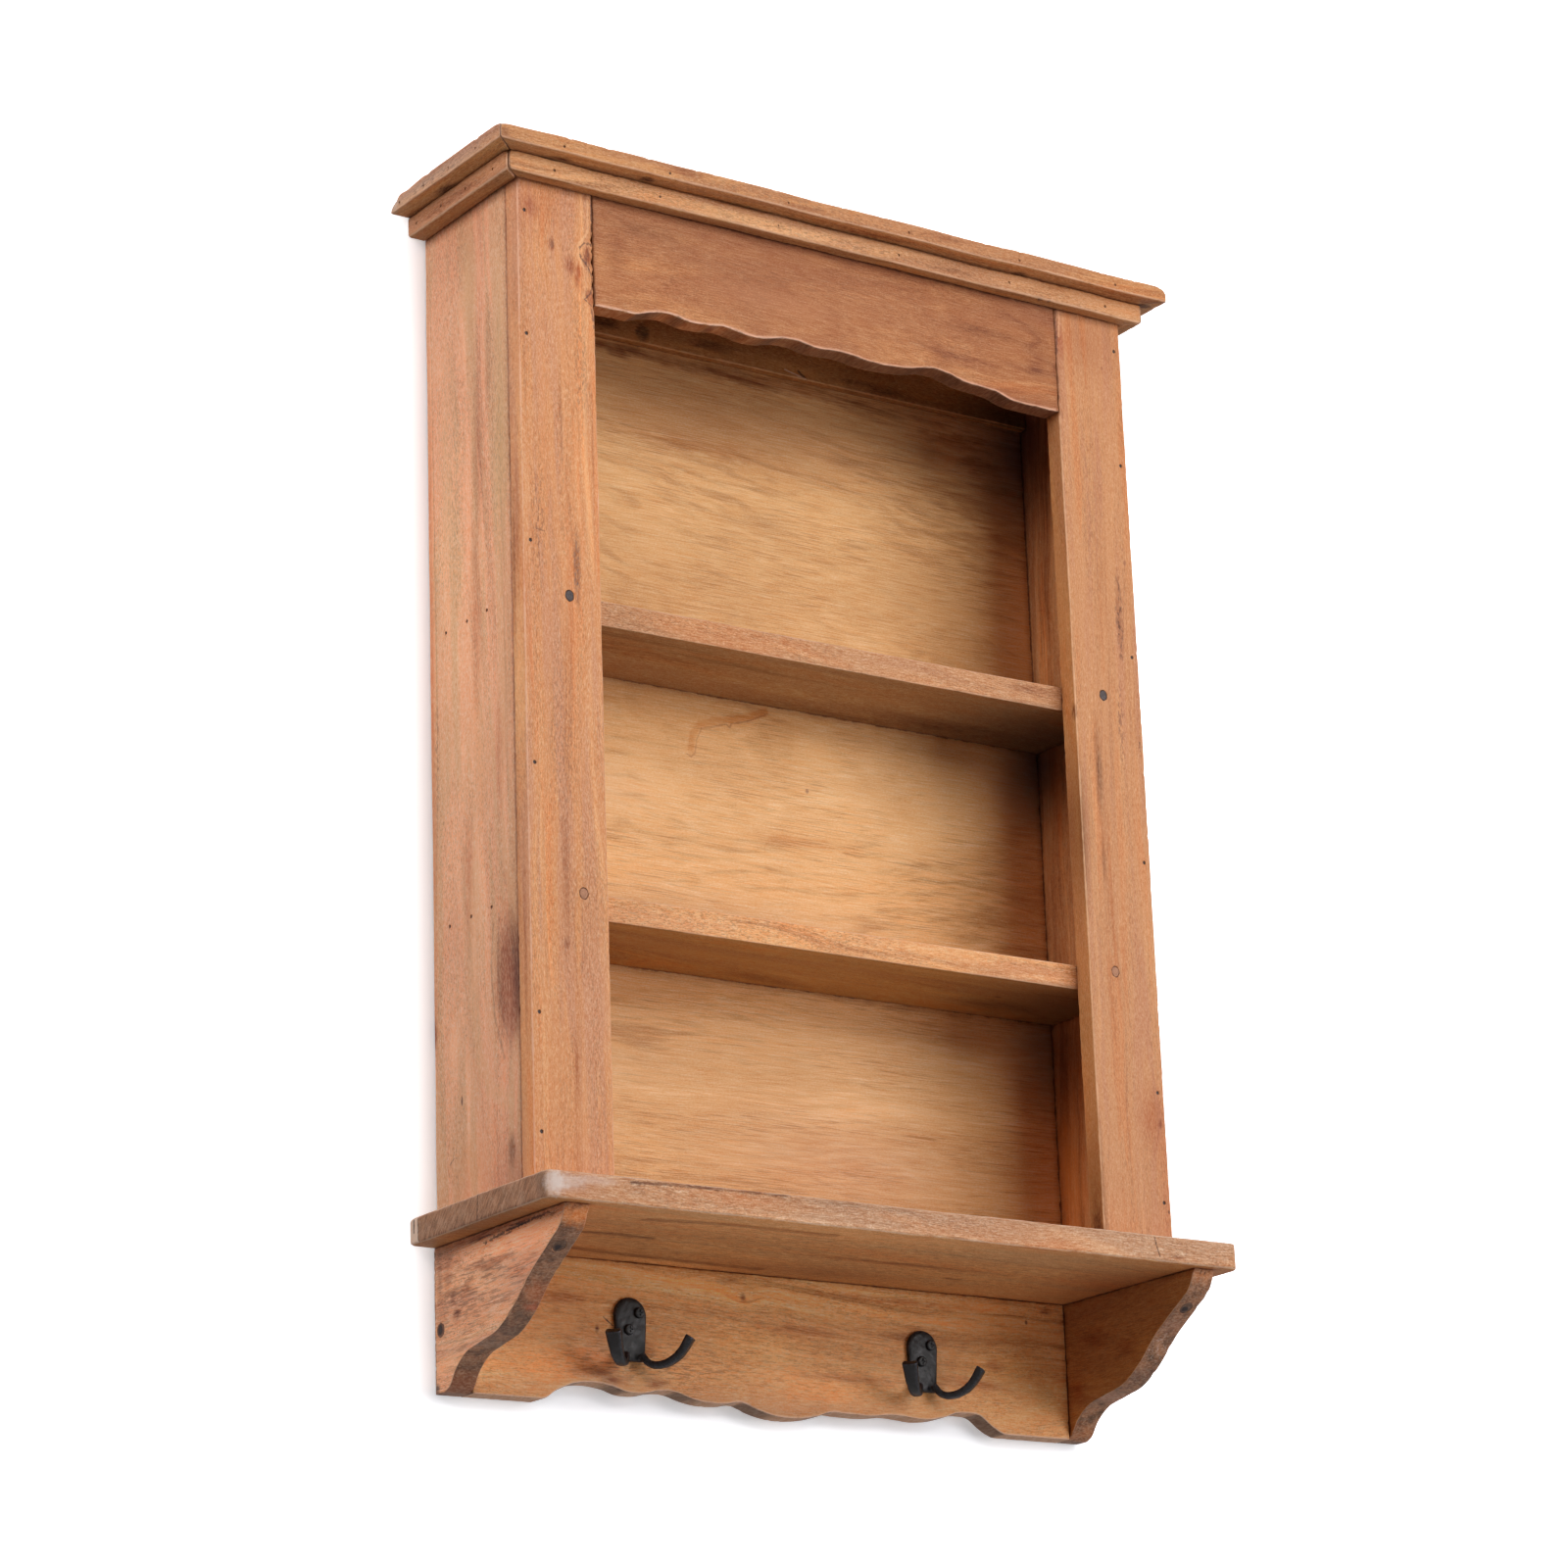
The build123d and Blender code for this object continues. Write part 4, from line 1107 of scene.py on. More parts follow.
side_left_face = (
    ("paint", -3, 420, 9, 430, (232, 150, 98), 0.5, 1, 0.5),
    ("paint", -28, 560, 16, 220, (226, 172, 130), 0.45, 1, 0.5),
    ("paint", -62, 705, 15, 80, (224, 176, 128), 0.4, 1, 0.5),
    ("paint", -106, 580, 13, 190, (208, 164, 116), 0.55, 1, 0.5),
    ("paint", -104, 380, 14, 130, (206, 158, 114), 0.45, 1, 0.5),
    ("paint", -70, 330, 22, 110, (216, 166, 122), 0.35, 1, 0.5),
    ("tint", -89, 640, 6.4, 66, (214, 200, 190), 0.8, 1, 0.6),
    ("tint", -72, 560, 9, 90, (206, 184, 174), 0.8, 1, 0.6),
    ("tint", -66, 440, 11, 100, (218, 196, 184), 0.85, 1, 0.6),
    ("paint", -100, 520, 9, 120, (214, 170, 124), 0.4, 1, 0.5),
    ("tint", -96, 330, 8, 70, (220, 200, 188), 0.85, 1, 0.6),
    ("tint", -52, 250, 10, 90, (216, 186, 170), 0.8, 1, 0.6),
    ("line", ((-7, 720), (-8.6, 560), (-9.8, 381), (-8.3, 319), (-4, 230)), (158, 96, 66), 0.4, 1.1, 0.9),
    ("dashes", -9, 350, 5, 60, (126, 72, 50), 0.7, 0.8, 0.5),
    ("dashes", -40, 560, 22, 170, (138, 92, 68), 0.45, 1, 0.5),
    ("dashes", -100, 560, 18, 170, (132, 94, 66), 0.4, 1, 0.5),
    (
        "line", ((-60, 256), (-55, 210), (-56, 160), (-63, 116), (-77, 90), (-100, 76)),
        (226, 176, 132), 0.32, 9, 1,
    ),
    ("tint", -107, 162, 27, 62, (172, 144, 136), 0.95, 0.6, 0.35),
    ("tint", -114, 168, 10, 44, (176, 146, 138), 0.85, 0.9, 0.4),
    ("paint", -110, 182, 2, 5.4, (112, 76, 60), 0.8, 0.7, 0.5),
    ("line", ((-84, 208), (-80, 178), (-84, 140), (-96, 108)), (140, 96, 74), 0.4, 1.6, 0.8),
    ("line", ((-92, 214), (-89, 176), (-94, 140), (-104, 118)), (128, 86, 68), 0.35, 1.6, 0.8),
    ("paint", -52, 40, 50, 36, (218, 144, 96), 0.4, 1, 0.6),
    ("tint", -104, 40, 9, 18, (150, 118, 104), 0.9, 1, 0.9),
    ("paint", -37.2, 89.9, 1.5, 4.6, (104, 64, 48), 0.85, 0.5, 0.5),
    ("line", ((-25.4, 50.6), (-19.6, 47)), (112, 68, 50), 0.75, 0.9, 0.3),
    ("tint", -1, 146, 4, 18, (160, 112, 92), 0.9, 0.8, 0.7),
    ("tint", -3, 400, 4, 400, (230, 196, 184)),
    # Painted light across the middle of the panel; painted shade under the cornice, near the front low down
    # and at the bottom.
    ("tone", -50, 470, 90, 230, (1.2, 1.24, 1.2)),
    ("tone", -50, 755, 90, 70, (0.84, 0.78, 0.74)),
    ("tone", -108, 195, 36, 80, (0.86, 0.82, 0.78)),
    ("tone", -112, 10, 60, 70, (0.72, 0.66, 0.68)),
)
board_wood(
    "side_panel_left", ALONG_Z_SIDE, pith=(30, -55), tilt=0.03, seed=7.7, bands=(26, 8, 1.5), contrast=1,
    blotch_size=(210, 18, 30), blotch=0.7, warmth=0.35, figure=1.4, specks=0.6, dirt=0.45,
    knots=(((-HALF_WIDTH, -112, 160), (30, 22, 60), -10),),
    marks=((0, -HALF_WIDTH, side_left_face),),
)
side_right_inner = (
    ("paint", -30, 90, 26, 90, (222, 142, 68), 0.6, 1, 0.6),
    ("tint", -104, 36, 9, 24, (140, 106, 92), 0.9),
    # Painted shadow at the top of each bay, under the valance and under the shelves, and painted light lower
    # down.
    ("tone", -20, 705, 90, 110, (0.17, 0.15, 0.24)),
    ("tone", -20, 425, 90, 80, (0.12, 0.12, 0.22)),
    ("tone", 0, 640, 34, 44, (0.5, 0.5, 0.6)),
    ("tone", -2, 190, 32, 190, (1.2, 1.35, 1.35)),
    ("tone", -20, 190, 90, 80, (0.46, 0.4, 0.46)),
    ("tone", -20, 40, 60, 110, (1.4, 1.3, 1.2)),
)
board_wood(
    "side_panel_right", ALONG_Z_SIDE, pith=(-40, 60), tilt=0.03, seed=9.2, bands=(18, 5.5, 1.4),
    blotch_size=(210, 16, 30), blotch=0.35, warmth=1, contrast=1.9, dash_size=(14, 0.8),
    marks=((0, SIDE_INNER, side_right_inner),),
)

PALE_ARRIS = shade(244, 202, 176)


def sawn_edge(flat_tone, slope_tone, strength, rubbed, fading=None):
    """A sawn lower edge: dark slopes with saw marks, lighter flats between them and a pale front arris.

    fading is where along x the pale tones begin to fade and where they are gone.
    """

    def paint_edge(paint, colour):
        x_part, y_part, z_part = paint.split(paint.normal)
        down = paint.span(z_part, -0.35, -0.8)
        slope = paint.span(paint.maths("ABSOLUTE", x_part), 0.06, 0.26)
        stir = paint.noise(paint.world, (7, 7, 7), 8.4, detail=4, roughness=0.65)
        saw = paint.noise(paint.world, (1.3, 9, 1.3), 3.1, detail=3, roughness=0.65)
        flat = paint.deepen(shade(*flat_tone), paint.span(stir, 0.3, 0.7, 0.8, 1.3))
        left = paint.span(paint.split(paint.world)[0], *fading, 1, 0.2) if fading else 1
        flat = paint.mix(left, shade(*slope_tone), flat)
        sawn = paint.mix(slope, flat, shade(*slope_tone))
        aged = paint.deepen(sawn, paint.span(saw, 0.35, 0.65, 1.25, 0.8))
        colour = paint.mix(down * strength, colour, aged)
        rim = paint.span(z_part, -0.25, -0.5) * paint.span(y_part, -0.3, -0.55)
        rim = rim * paint.span(stir, 0.36, 0.56, 0.2 * rubbed, rubbed) * left
        return paint.mix(rim, colour, PALE_ARRIS)

    return paint_edge


valance_face = (
    ("tint", -166, 748, 44, 9, (200, 184, 174), 0.85, 1, 1),
    ("tint", -196, 720, 18, 22, (214, 196, 186), 0.8, 1, 0.9),
    ("tint", 150, 732, 70, 7, (216, 206, 196), 0.85, 1, 1),
    ("tint", 120, 706, 60, 5, (206, 186, 176), 0.8, 1, 1),
    ("tint", 196, 712, 16, 12, (190, 160, 146), 0.8, 1, 1),
    ("paint", -60, 716, 90, 16, (196, 132, 92), 0.3),
    ("dashes", -40, 736, 160, 16, (110, 66, 44), 0.4),
    # Painted shadow of the cornice along the top, strongest on the right, painted light low on the left and
    # painted shade low on the right.
    ("tone", 30, 776, 360, 38, (0.68, 0.58, 0.5)),
    ("tone", 200, 768, 120, 40, (0.84, 0.82, 0.9)),
    ("tone", -190, 704, 140, 50, (1.15, 1.16, 1.12)),
    ("tone", 150, 672, 150, 26, (0.74, 0.72, 0.84)),
)
board_wood(
    "valance", ALONG_X_FRONT, pith=(10, -260), tilt=0.01, seed=12.5, wander=5, bands=(16, 5, 1.2),
    weights=(0.45, 0.42, 0.42), contrast=1.25, dash_size=(14, 0.7), figure=0.95, blotch_size=(180, 22, 30),
    wear=0.95, wear_reach=3, wear_colour=(228, 172, 142),
    extra=sawn_edge((176, 120, 82), (88, 62, 50), 0.85, 0.9, (-110, 0)),
    marks=((1, -DEPTH, valance_face),),
)
upper_shelf_front = (("tint", 190, 448, 40, 5, (190, 160, 140), 0.8, 1, 0.9),)
upper_shelf_under = (
    # Painted shadow in the right-hand corner under the shelf.
    ("tone", 268, -60, 210, 140, (0.27, 0.29, 0.4)),
    ("tint", 150, -40, 80, 22, (176, 150, 132)),
    ("tint", 60, -26, 120, 10, (190, 164, 146)),
)
lower_shelf_under = (
    # Painted shadow in the right-hand corner under the shelf.
    ("tone", 268, -70, 190, 140, (0.36, 0.4, 0.58)),
    ("tint", 190, -50, 60, 22, (170, 146, 130)),
    ("paint", 176, -70, 5, 3, (60, 34, 20), 0.7, 0.7, 0.6),
)
shelf_marks = {
    "upper_shelf": (
        (1, SHELF_FRONT, upper_shelf_front),
        (2, upper_level - SHELF_THICKNESS, upper_shelf_under),
    ),
    "lower_shelf": ((2, lower_level - SHELF_THICKNESS, lower_shelf_under),),
}
# The undersides of the shelves get a painted shade.
for name, seed, underside_shade in (
    ("upper_shelf", 15, (0.76, 0.92, 0.9)), ("lower_shelf", 17.7, (0.65, 0.73, 0.61)),
):
    board_wood(
        name, ALONG_X_FLAT, pith=(30, -60), tilt=0.03, seed=seed, contrast=1.3, figure=1.25,
        dash_size=(8, 0.8), blotch=0.6, specks=0.55, wear=0.6, faces=((2, -1, underside_shade),),
        marks=shelf_marks[name],
    )
board_wood("top_board", ALONG_X_FLAT, pith=(10, -90), seed=20.4)
back_face = (
    (
        "stain",
        (
            (5.5, 430.3), (-12.1, 423.3), (-27.6, 419.3), (-43.9, 415.5),
            (-55.7, 411.2), (-62.3, 402.3), (-64.5, 389.4),
        ),
        (240, 212, 178),
        1,
        4.2,
        0.5,
    ),
    (
        "line",
        ((5.5, 428), (-12.1, 420), (-26.6, 416), (-28, 412.6), (-31, 415), (-43.9, 411), (-54, 408)),
        (176, 104, 58),
        0.6,
        1,
        0.4,
    ),
    ("line", ((-54, 408), (-58.6, 399), (-60.5, 388), (-64, 384), (-68, 386)), (178, 104, 60), 0.55, 1, 0.4),
    # Painted shade: the next two tints darken the panel in its upper part and in its lowest bay.
    ("tint", 0, 600, 340, 230, (238, 234, 228), 1, 0.5, 0.3),
    ("tint", 0, 110, 340, 180, (250, 247, 246), 1, 0.5, 0.3),
    ("tint", 200, 690, 60, 9, (196, 168, 140), 0.9, 1, 1.6),
    ("tint", 222, 674, 30, 10, (190, 160, 130), 0.8, 1, 2),
    ("tint", -120, 702, 14, 5, (158, 120, 84), 0.9, 0.8, 1.4),
    ("tint", -150, 706, 130, 6, (166, 130, 98), 0.9, 1, 1),
    ("tint", 20, 704, 240, 8, (170, 134, 102), 0.9, 1, 1),
    # Painted shadow of the valance along the top and in the right-hand corners of the bays, and bands of
    # painted light and shade across the bays.
    ("tone", 0, 664, 330, 62, (0.72, 0.64, 0.6)),
    ("tone", 268, 690, 86, 110, (0.18, 0.19, 0.32)),
    ("tone", 268, 425, 64, 90, (0.18, 0.18, 0.29)),
    ("tone", -40, 245, 300, 46, (0.78, 0.78, 0.88)),
    ("tone", -40, 410, 260, 40, (1.14, 1.14, 1.1)),
    ("tone", 268, 195, 64, 90, (0.36, 0.36, 0.46)),
    ("tone", 70, 78, 210, 80, (0.78, 0.7, 0.72)),
    ("tone", -60, 202, 260, 50, (1.24, 1.28, 1.28)),
    ("tint", 30, 330, 60, 8, (232, 210, 186), 0.8, 1, 1),
    ("tint", -60, 640, 120, 12, (228, 206, 184), 0.8, 1, 1),
    ("paint", -150, 350, 90, 30, (232, 186, 142), 0.35),
    ("paint", -150, 130, 90, 40, (222, 174, 124), 0.3),
    ("line", ((150, 600), (166, 574)), (214, 164, 116), 0.4, 0.7, 0.2),
    ("line", ((164, 606), (186, 560)), (214, 164, 116), 0.35, 0.7, 0.2),
    ("paint", 42, 372, 1.8, 2.2, (150, 92, 66), 0.7, 0.6),
)
board_wood(
    "back_panel", ALONG_X_FRONT, pith=(60, -900), tilt=0.01, seed=23.1, wander=2.5, bands=(30, 9, 1.2),
    weights=(0.3, 0.25, 0.4), figure=1.15, pores=0.62, pore_size=(34, 0.62), dash_size=(24, 0.62),
    fleck_tone=(0.6, 0.46, 0.34), specks=0.15, warmth=0.2, blotch_size=(120, 60, 60), wear=0, dirt=0.9,
    marks=((1, PANEL_FRONT, back_face),),
)
rail_face = (
    ("paint", -103, 720, 8, 9, (46, 26, 14), 0.7, 0.5),
    ("tint", -139, 722, 18, 9, (110, 80, 60), 0.8, 0.8, 0.9),
    ("tint", -40, 722, 30, 6, (130, 100, 80), 0.8, 0.9, 1),
    ("paint", -190, 724, 7, 12, (52, 30, 18), 0.6, 0.6),
    ("tint", 110, 718, 60, 5, (140, 106, 84), 0.8, 1, 1),
    ("line", ((60, 705.6), (51, 711), (43, 717)), (36, 20, 12), 0.95, 1.6, 0.5),
    ("line", ((50, 711.6), (30, 716)), (200, 170, 146), 0.8, 1, 0.5),
    # Painted shade at the right end of the rail.
    ("tone", 250, 715, 90, 40, (0.24, 0.3, 0.42)),
)
board_wood(
    "hanging_rail", ALONG_X_FRONT, pith=(0, -70), seed=26.6, wear=0.8, wear_colour=(200, 150, 108),
    marks=((1, RAIL_FRONT, rail_face),),
)


def worn_board(paint, colour):
    """The bottom board: its sawn left end, its slot, and its rubbed front-left corner."""
    _, y, z = paint.split(paint.world)
    left_end = paint.span(paint.split(paint.normal)[0], -0.6, -0.95)
    stir = paint.noise(paint.world, (10, 10, 10), 2.2, detail=4, roughness=0.65)
    saw = paint.noise(paint.join(y + z * 0.75, z * 0.12, 0), (1.3, 1, 1), 6.2, detail=3, roughness=0.75)
    sawn = paint.mix(paint.span(saw, 0.36, 0.62), shade(92, 62, 47), shade(168, 120, 92))
    sawn = paint.deepen(sawn, paint.span(stir, 0.3, 0.7, 1.15, 0.85))
    sawn = paint.mix(paint.spot((-304, -177, 1), (16, 10, 16), 0.6, 0.5) * 0.6, sawn, shade(96, 74, 64))
    colour = paint.mix(left_end * 0.8, colour, sawn)
    block = left_end * paint.span(y, -11.5, -10.5)
    colour = paint.mix(block * 0.75, colour, paint.deepen(shade(222, 166, 132), saw))
    for centre, reach, strength in (
        ((-297, BOARD_FRONT, 1), (13, 9, 13), 0.85),
        ((-284, BOARD_FRONT, 2), (17, 8, 8), 0.4),
        ((-264, BOARD_FRONT, 5), (24, 8, 5), 0.3),
    ):
        pale = paint.spot(centre, reach, 0.8, 0.9, (3.5, 3.5, 3.5)) * strength
        colour = paint.mix(pale, colour, shade(222, 204, 194))
    for path, width in (
        (((222.6, BOARD_FRONT, 8), (223.8, BOARD_FRONT, 2), (226.8, BOARD_FRONT, -6.4)), 0.7),
        (((-304, -94, 9), (-304, -93.2, 2), (-304, -92.5, -8.5)), 0.9),
        (((-304, -11, 9), (-304, -11.2, -8.5)), 0.6),
        (((-304, -5.6, 7.6), (-304, -5.4, -1)), 1.3),
    ):
        colour = paint.mix(paint.stroke(path, width, 0.4) * 0.85, colour, shade(62, 38, 28))
    return colour


board_front_face = (
    ("tint", -60, 7, 170, 3.4, (224, 222, 220), 0.8, 1, 0.9),
    ("tint", 150, 8, 110, 2.6, (226, 220, 216), 0.8, 1, 0.9),
    ("tint", 243, -5, 12, 3, (186, 156, 134), 0.7, 1, 1.2),
    ("stain", ((-236, 6), (-200, 7.6), (-150, 8.4), (-104, 8.8)), (150, 132, 122), 0.9, 1.9, 0.8),
    # Painted shade at the left end and in the middle of the front.
    ("tone", -290, 0, 50, 20, (0.9, 0.78, 0.74)),
    ("tone", 70, 0, 90, 20, (0.9, 0.86, 0.84)),
)
board_under_face = (
    ("tint", 60, -95, 140, 8, (172, 136, 108), 0.9, 1, 0.9),
    ("stain", ((-232, -92), (-214, -96), (-194, -99.6), (-164, -97)), (120, 88, 70), 0.8, 5.5, 1),
    ("stain", ((-200, -150), (-180, -154), (-127, -160), (-50, -160)), (196, 176, 158), 0.9, 7, 1),
    ("stain", ((-196, -46), (-157, -41), (-100, -37), (-30, -36)), (146, 108, 86), 0.7, 7, 1),
    ("tint", 124, -66, 20, 3, (120, 88, 66), 0.9, 0.9),
    ("dashes", 0, -95, 340, 100, (104, 66, 38), 0.42, 0.6, 0.6),
    # Painted light along the front and near the back on the left, painted shade in a band near the back and
    # at both ends.
    ("tone", -70, -172, 300, 62, (1.4, 1.5, 1.6)),
    ("tone", 10, -44, 130, 36, (0.66, 0.64, 0.68)),
    ("tone", -110, -22, 80, 24, (1.5, 1.6, 1.6)),
    ("tone", 262, -105, 110, 120, (0.6, 0.44, 0.36)),
    ("tone", -302, -100, 30, 150, (0.5, 0.5, 0.56)),
    ("line", ((216, -154), (228, -151.4), (242, -147)), (92, 54, 32), 0.75, 0.8, 0.4),
    ("line", ((-212, -84), (-196, -86), (-178, -92)), (84, 48, 30), 0.75, 0.9, 0.5),
)
board_wood(
    "bottom_board", ALONG_X_FLAT, pith=(50, -60), tilt=0.03, seed=29.3, bands=(16, 5, 1.4),
    weights=(0.32, 0.36, 0.34), contrast=0.85, dash_size=(9, 0.9), blotch=0.55, figure=1.4, specks=0.5,
    wear_colour=(216, 186, 164), end_tone=0.8, extra=worn_board,
    # A warmer painted shade on the underside and painted light on the left end.
    faces=((2, -1, (1.12, 0.96, 0.66)), (0, -1, (1.3, 1.26, 1.18))),
    marks=((1, BOARD_FRONT, board_front_face), (2, board_bottom, board_under_face)),
)
hook_board_face = (
    ("tint", -33.3, -28, 4, 4.4, (140, 98, 72), 0.9, 0.9, 0.9),
    ("tint", -46, -17, 14, 4, (180, 144, 114), 0.9, 1, 1),
    ("tint", -160.6, -61, 2.6, 4, (126, 90, 70), 0.9, 0.8, 0.7),
    ("line", ((-155, -52), (-147.4, -57.6)), (66, 32, 20), 0.95, 0.8, 0.1),
    ("tint", -165, -92, 30, 5, (176, 146, 120), 0.85, 1, 0.9),
    ("tint", -150, -97, 14, 5, (160, 124, 98), 0.85, 1, 0.9),
    ("tint", -110, -97, 18, 6, (178, 148, 124), 0.85, 1, 0.9),
    ("tint", -126, -74, 22, 10, (206, 172, 146)),
    ("paint", 227.9, -26.6, 1.8, 2.8, (110, 60, 32), 0.85, 0.6, 0.6),
    ("tint", 247, -17, 9, 4, (176, 134, 98), 0.9, 0.9, 0.9),
    ("tint", 60, -82, 70, 5, (204, 170, 142), 0.85, 1, 0.9),
    ("tint", 20, -50, 60, 8, (214, 180, 150), 0.8, 1, 0.9),
    ("tint", 170, -78, 60, 7, (204, 166, 136), 0.85, 1, 0.9),
    ("tint", 100, -20, 120, 5, (206, 170, 140), 0.85, 1, 0.9),
    ("tint", -240, -30, 30, 30, (196, 158, 130), 0.8, 1, 0.6),
    ("tint", -190, -40, 30, 8, (196, 158, 130)),
    ("dashes", -30, -62, 330, 60, (150, 94, 54), 0.3, 0.6),
    ("dashes", -120, -84, 110, 20, (126, 80, 50), 0.5),
    ("tint", 120, -46, 36, 6, (176, 146, 120), 0.9, 1, 1.2),
    ("tint", 196, -62, 14, 9, (200, 160, 132), 0.8, 1, 1),
    # Painted light along the top, in the middle and on the right, painted shade along the bottom and on the
    # left.
    ("tone", -10, -18, 330, 34, (1.2, 1.32, 1.34)),
    ("tone", -40, -116, 360, 36, (0.68, 0.64, 0.72)),
    ("tone", -160, -84, 60, 34, (0.76, 0.68, 0.72)),
    ("tone", -24, -60, 80, 20, (1.22, 1.28, 1.26)),
    ("tone", 196, -62, 50, 18, (1.16, 1.2, 1.14)),
)
board_wood(
    "hook_board", ALONG_X_FRONT, pith=(-30, -45), tilt=0.03, seed=33.8, bands=(16, 5, 1.3),
    weights=(0.5, 0.42, 0.34), contrast=1.25, dash_size=(10, 0.9), pore_size=(10, 0.7), figure=1.2,
    blotch=0.6, specks=0.45, wear=0.7, wear_reach=2.2, wear_colour=(236, 190, 158),
    extra=sawn_edge((206, 158, 128), (112, 86, 74), 0.85, 0.6),
    knots=(
        ((-34, HOOK_BOARD_FRONT, -28), (16, 20, 12), 7), ((-161, HOOK_BOARD_FRONT, -61), (10, 20, 10), 4),
        ((-177, HOOK_BOARD_FRONT, -84), (40, 20, 16), -7),
    ),
    marks=((1, HOOK_BOARD_FRONT, hook_board_face),),
)


def dark_scroll(paint, colour):
    """The sawn scrolled edge is dark and stained, with a fresh patch at its top and its foot."""
    edge = paint.span(paint.maths("ABSOLUTE", paint.split(paint.normal)[0]), 0.75, 0.4)
    stir = paint.noise(paint.world, (10, 10, 10), 5.5, detail=5, roughness=0.7)
    saw = paint.noise(paint.world, (2.6, 1.4, 1.4), 7.5, detail=3, roughness=0.7)
    aged = paint.mix(paint.span(stir, 0.34, 0.66), shade(104, 76, 60), shade(176, 126, 96))
    aged = paint.deepen(aged, paint.span(saw, 0.3, 0.7, 1.3, 0.76))
    for centre, reach, tone, strength in (
        ((-271, -174, -17), (26, 14, 14), (214, 132, 76), 1),
        ((-275, -155, -34), (60, 14, 12), (108, 84, 70), 0.7),
        ((-272, -117, -62), (18, 19, 17), (176, 106, 70), 0.9),
        ((-270, -108, -70), (9, 6, 6), (190, 104, 74), 0.8),
        ((-275, -88, -82), (60, 12, 8), (108, 80, 64), 0.7),
        ((-277, -60, -87), (60, 12, 7), (150, 124, 108), 0.6),
        ((-275, -18, -108), (60, 18, 17), (138, 82, 56), 0.9),
        ((275, -178, -14), (60, 12, 9), (206, 138, 94), 0.8),
        ((275, -138, -48), (60, 14, 10), (178, 128, 104), 0.6),
        ((275, -96, -76), (60, 12, 10), (132, 102, 88), 0.6),
        ((275, -60, -88), (60, 14, 9), (190, 138, 112), 0.7),
        ((275, -16, -108), (60, 14, 12), (190, 122, 82), 0.8),
    ):
        patch = paint.spot(centre, reach, 1, 1.3, (5, 5, 5)) * strength
        aged = paint.mix(patch, aged, paint.deepen(shade(*tone), paint.span(saw, 0.3, 0.7, 1.3, 0.74)))
    for path, width, tone in (
        (((-280, -141, -47), (-270, -139, -49)), 0.9, (74, 54, 46)),
        (((-283, -98, -77), (-268, -96, -78)), 0.8, (88, 64, 54)),
        (((272.6, -177, -11), (271, -172, -17), (268, -167, -22.5)), 0.9, (62, 38, 28)),
        (((277, -178, -10.6), (275.6, -174, -15), (273, -170, -19.4)), 0.7, (70, 44, 32)),
        (((270.4, -24, -101), (272, -22, -103)), 1.6, (84, 58, 48)),
    ):
        aged = paint.mix(paint.stroke(path, width, 0.4) * 0.85, aged, shade(*tone))
    pale = paint.spot((275, -120, -60), (30, 18, 14), 0.6, 0.6, (5, 5, 5)) * 0.8
    chips = paint.noise(paint.world, (1.6, 2.6, 1.6), 9.1, detail=2, roughness=0.6)
    aged = paint.mix(pale * paint.span(chips, 0.58, 0.64), aged, shade(206, 178, 166))
    return paint.mix(edge * 0.94, colour, aged)


bracket_left_face = (
    ("paint", -70, -36, 60, 14, (202, 152, 118), 0.4),
    ("paint", -30, -92, 22, 18, (214, 160, 124), 0.45, 1, 0.7),
    ("dashes", -80, -46, 90, 40, (118, 80, 62), 0.55, 0.7),
    ("dashes", -30, -70, 40, 50, (124, 84, 64), 0.45, 0.7),
    ("tint", -44, -48, 16, 7, (176, 146, 134), 0.85, 1, 1.4),
    ("tint", -64, -34, 26, 6, (180, 148, 134), 0.85, 1, 1.4),
    ("tint", -96, -34, 22, 5, (190, 160, 146), 0.85, 1, 1.4),
    ("tint", -20, -30, 12, 22, (186, 158, 146), 0.85, 1, 1.2),
    ("tint", -8, -34, 7, 30, (156, 126, 118), 0.9, 1, 1.2),
    ("tint", -32, -62, 9, 9, (156, 120, 110), 0.85, 1, 1.4),
    ("tint", -26, -50, 6, 8, (166, 130, 120), 0.85, 1, 1.4),
    ("tint", -90, -13.4, 90, 4, (180, 150, 138), 0.8, 0.8, 0.9),
    ("dashes", -112, -15.6, 70, 3.4, (44, 26, 20), 0.9, 0.5, 0.6),
    # Painted shade toward the front and near the wall, painted light low by the wall and along the top.
    ("tone", -128, -48, 70, 34, (0.76, 0.72, 0.78)),
    ("tone", -40, -64, 50, 24, (0.9, 0.84, 0.82)),
    ("tone", -28, -106, 50, 30, (1.24, 1.24, 1.22)),
    ("tone", -90, -22, 110, 18, (1.34, 1.3, 1.3)),
    ("line", ((-156, -13), (-126, -14.8), (-100, -16), (-70, -19)), (52, 32, 24), 0.8, 1.3, 1.6),
    ("tint", -8, -69, 8, 9, (180, 148, 136), 0.8, 1, 0.7),
    ("paint", -2, -111, 7, 5, (76, 64, 62), 0.85, 0.7, 1),
    ("line", ((-1.4, -14), (-1, -60), (-1.4, -112)), (96, 70, 60), 0.65, 2, 1.2),
)
bracket_right_face = (
    ("tint", -52, -42, 26, 12, (196, 150, 122), 0.8, 1, 1),
    ("tint", -92, -56, 20, 9, (200, 156, 128), 0.8, 1, 1),
    ("tint", -30, -78, 16, 20, (206, 164, 136)),
    ("dashes", -70, -46, 90, 50, (96, 52, 26), 0.3, 0.8),
    # Painted light low by the wall and toward the front, and the painted shadow of the bottom board along the
    # top near the wall.
    ("tone", -6, -84, 40, 70, (1.36, 1.34, 1.2)),
    ("tone", -44, -14, 80, 22, (0.78, 0.74, 0.84)),
    ("tone", -120, -62, 50, 30, (1.2, 1.18, 1.04)),
)
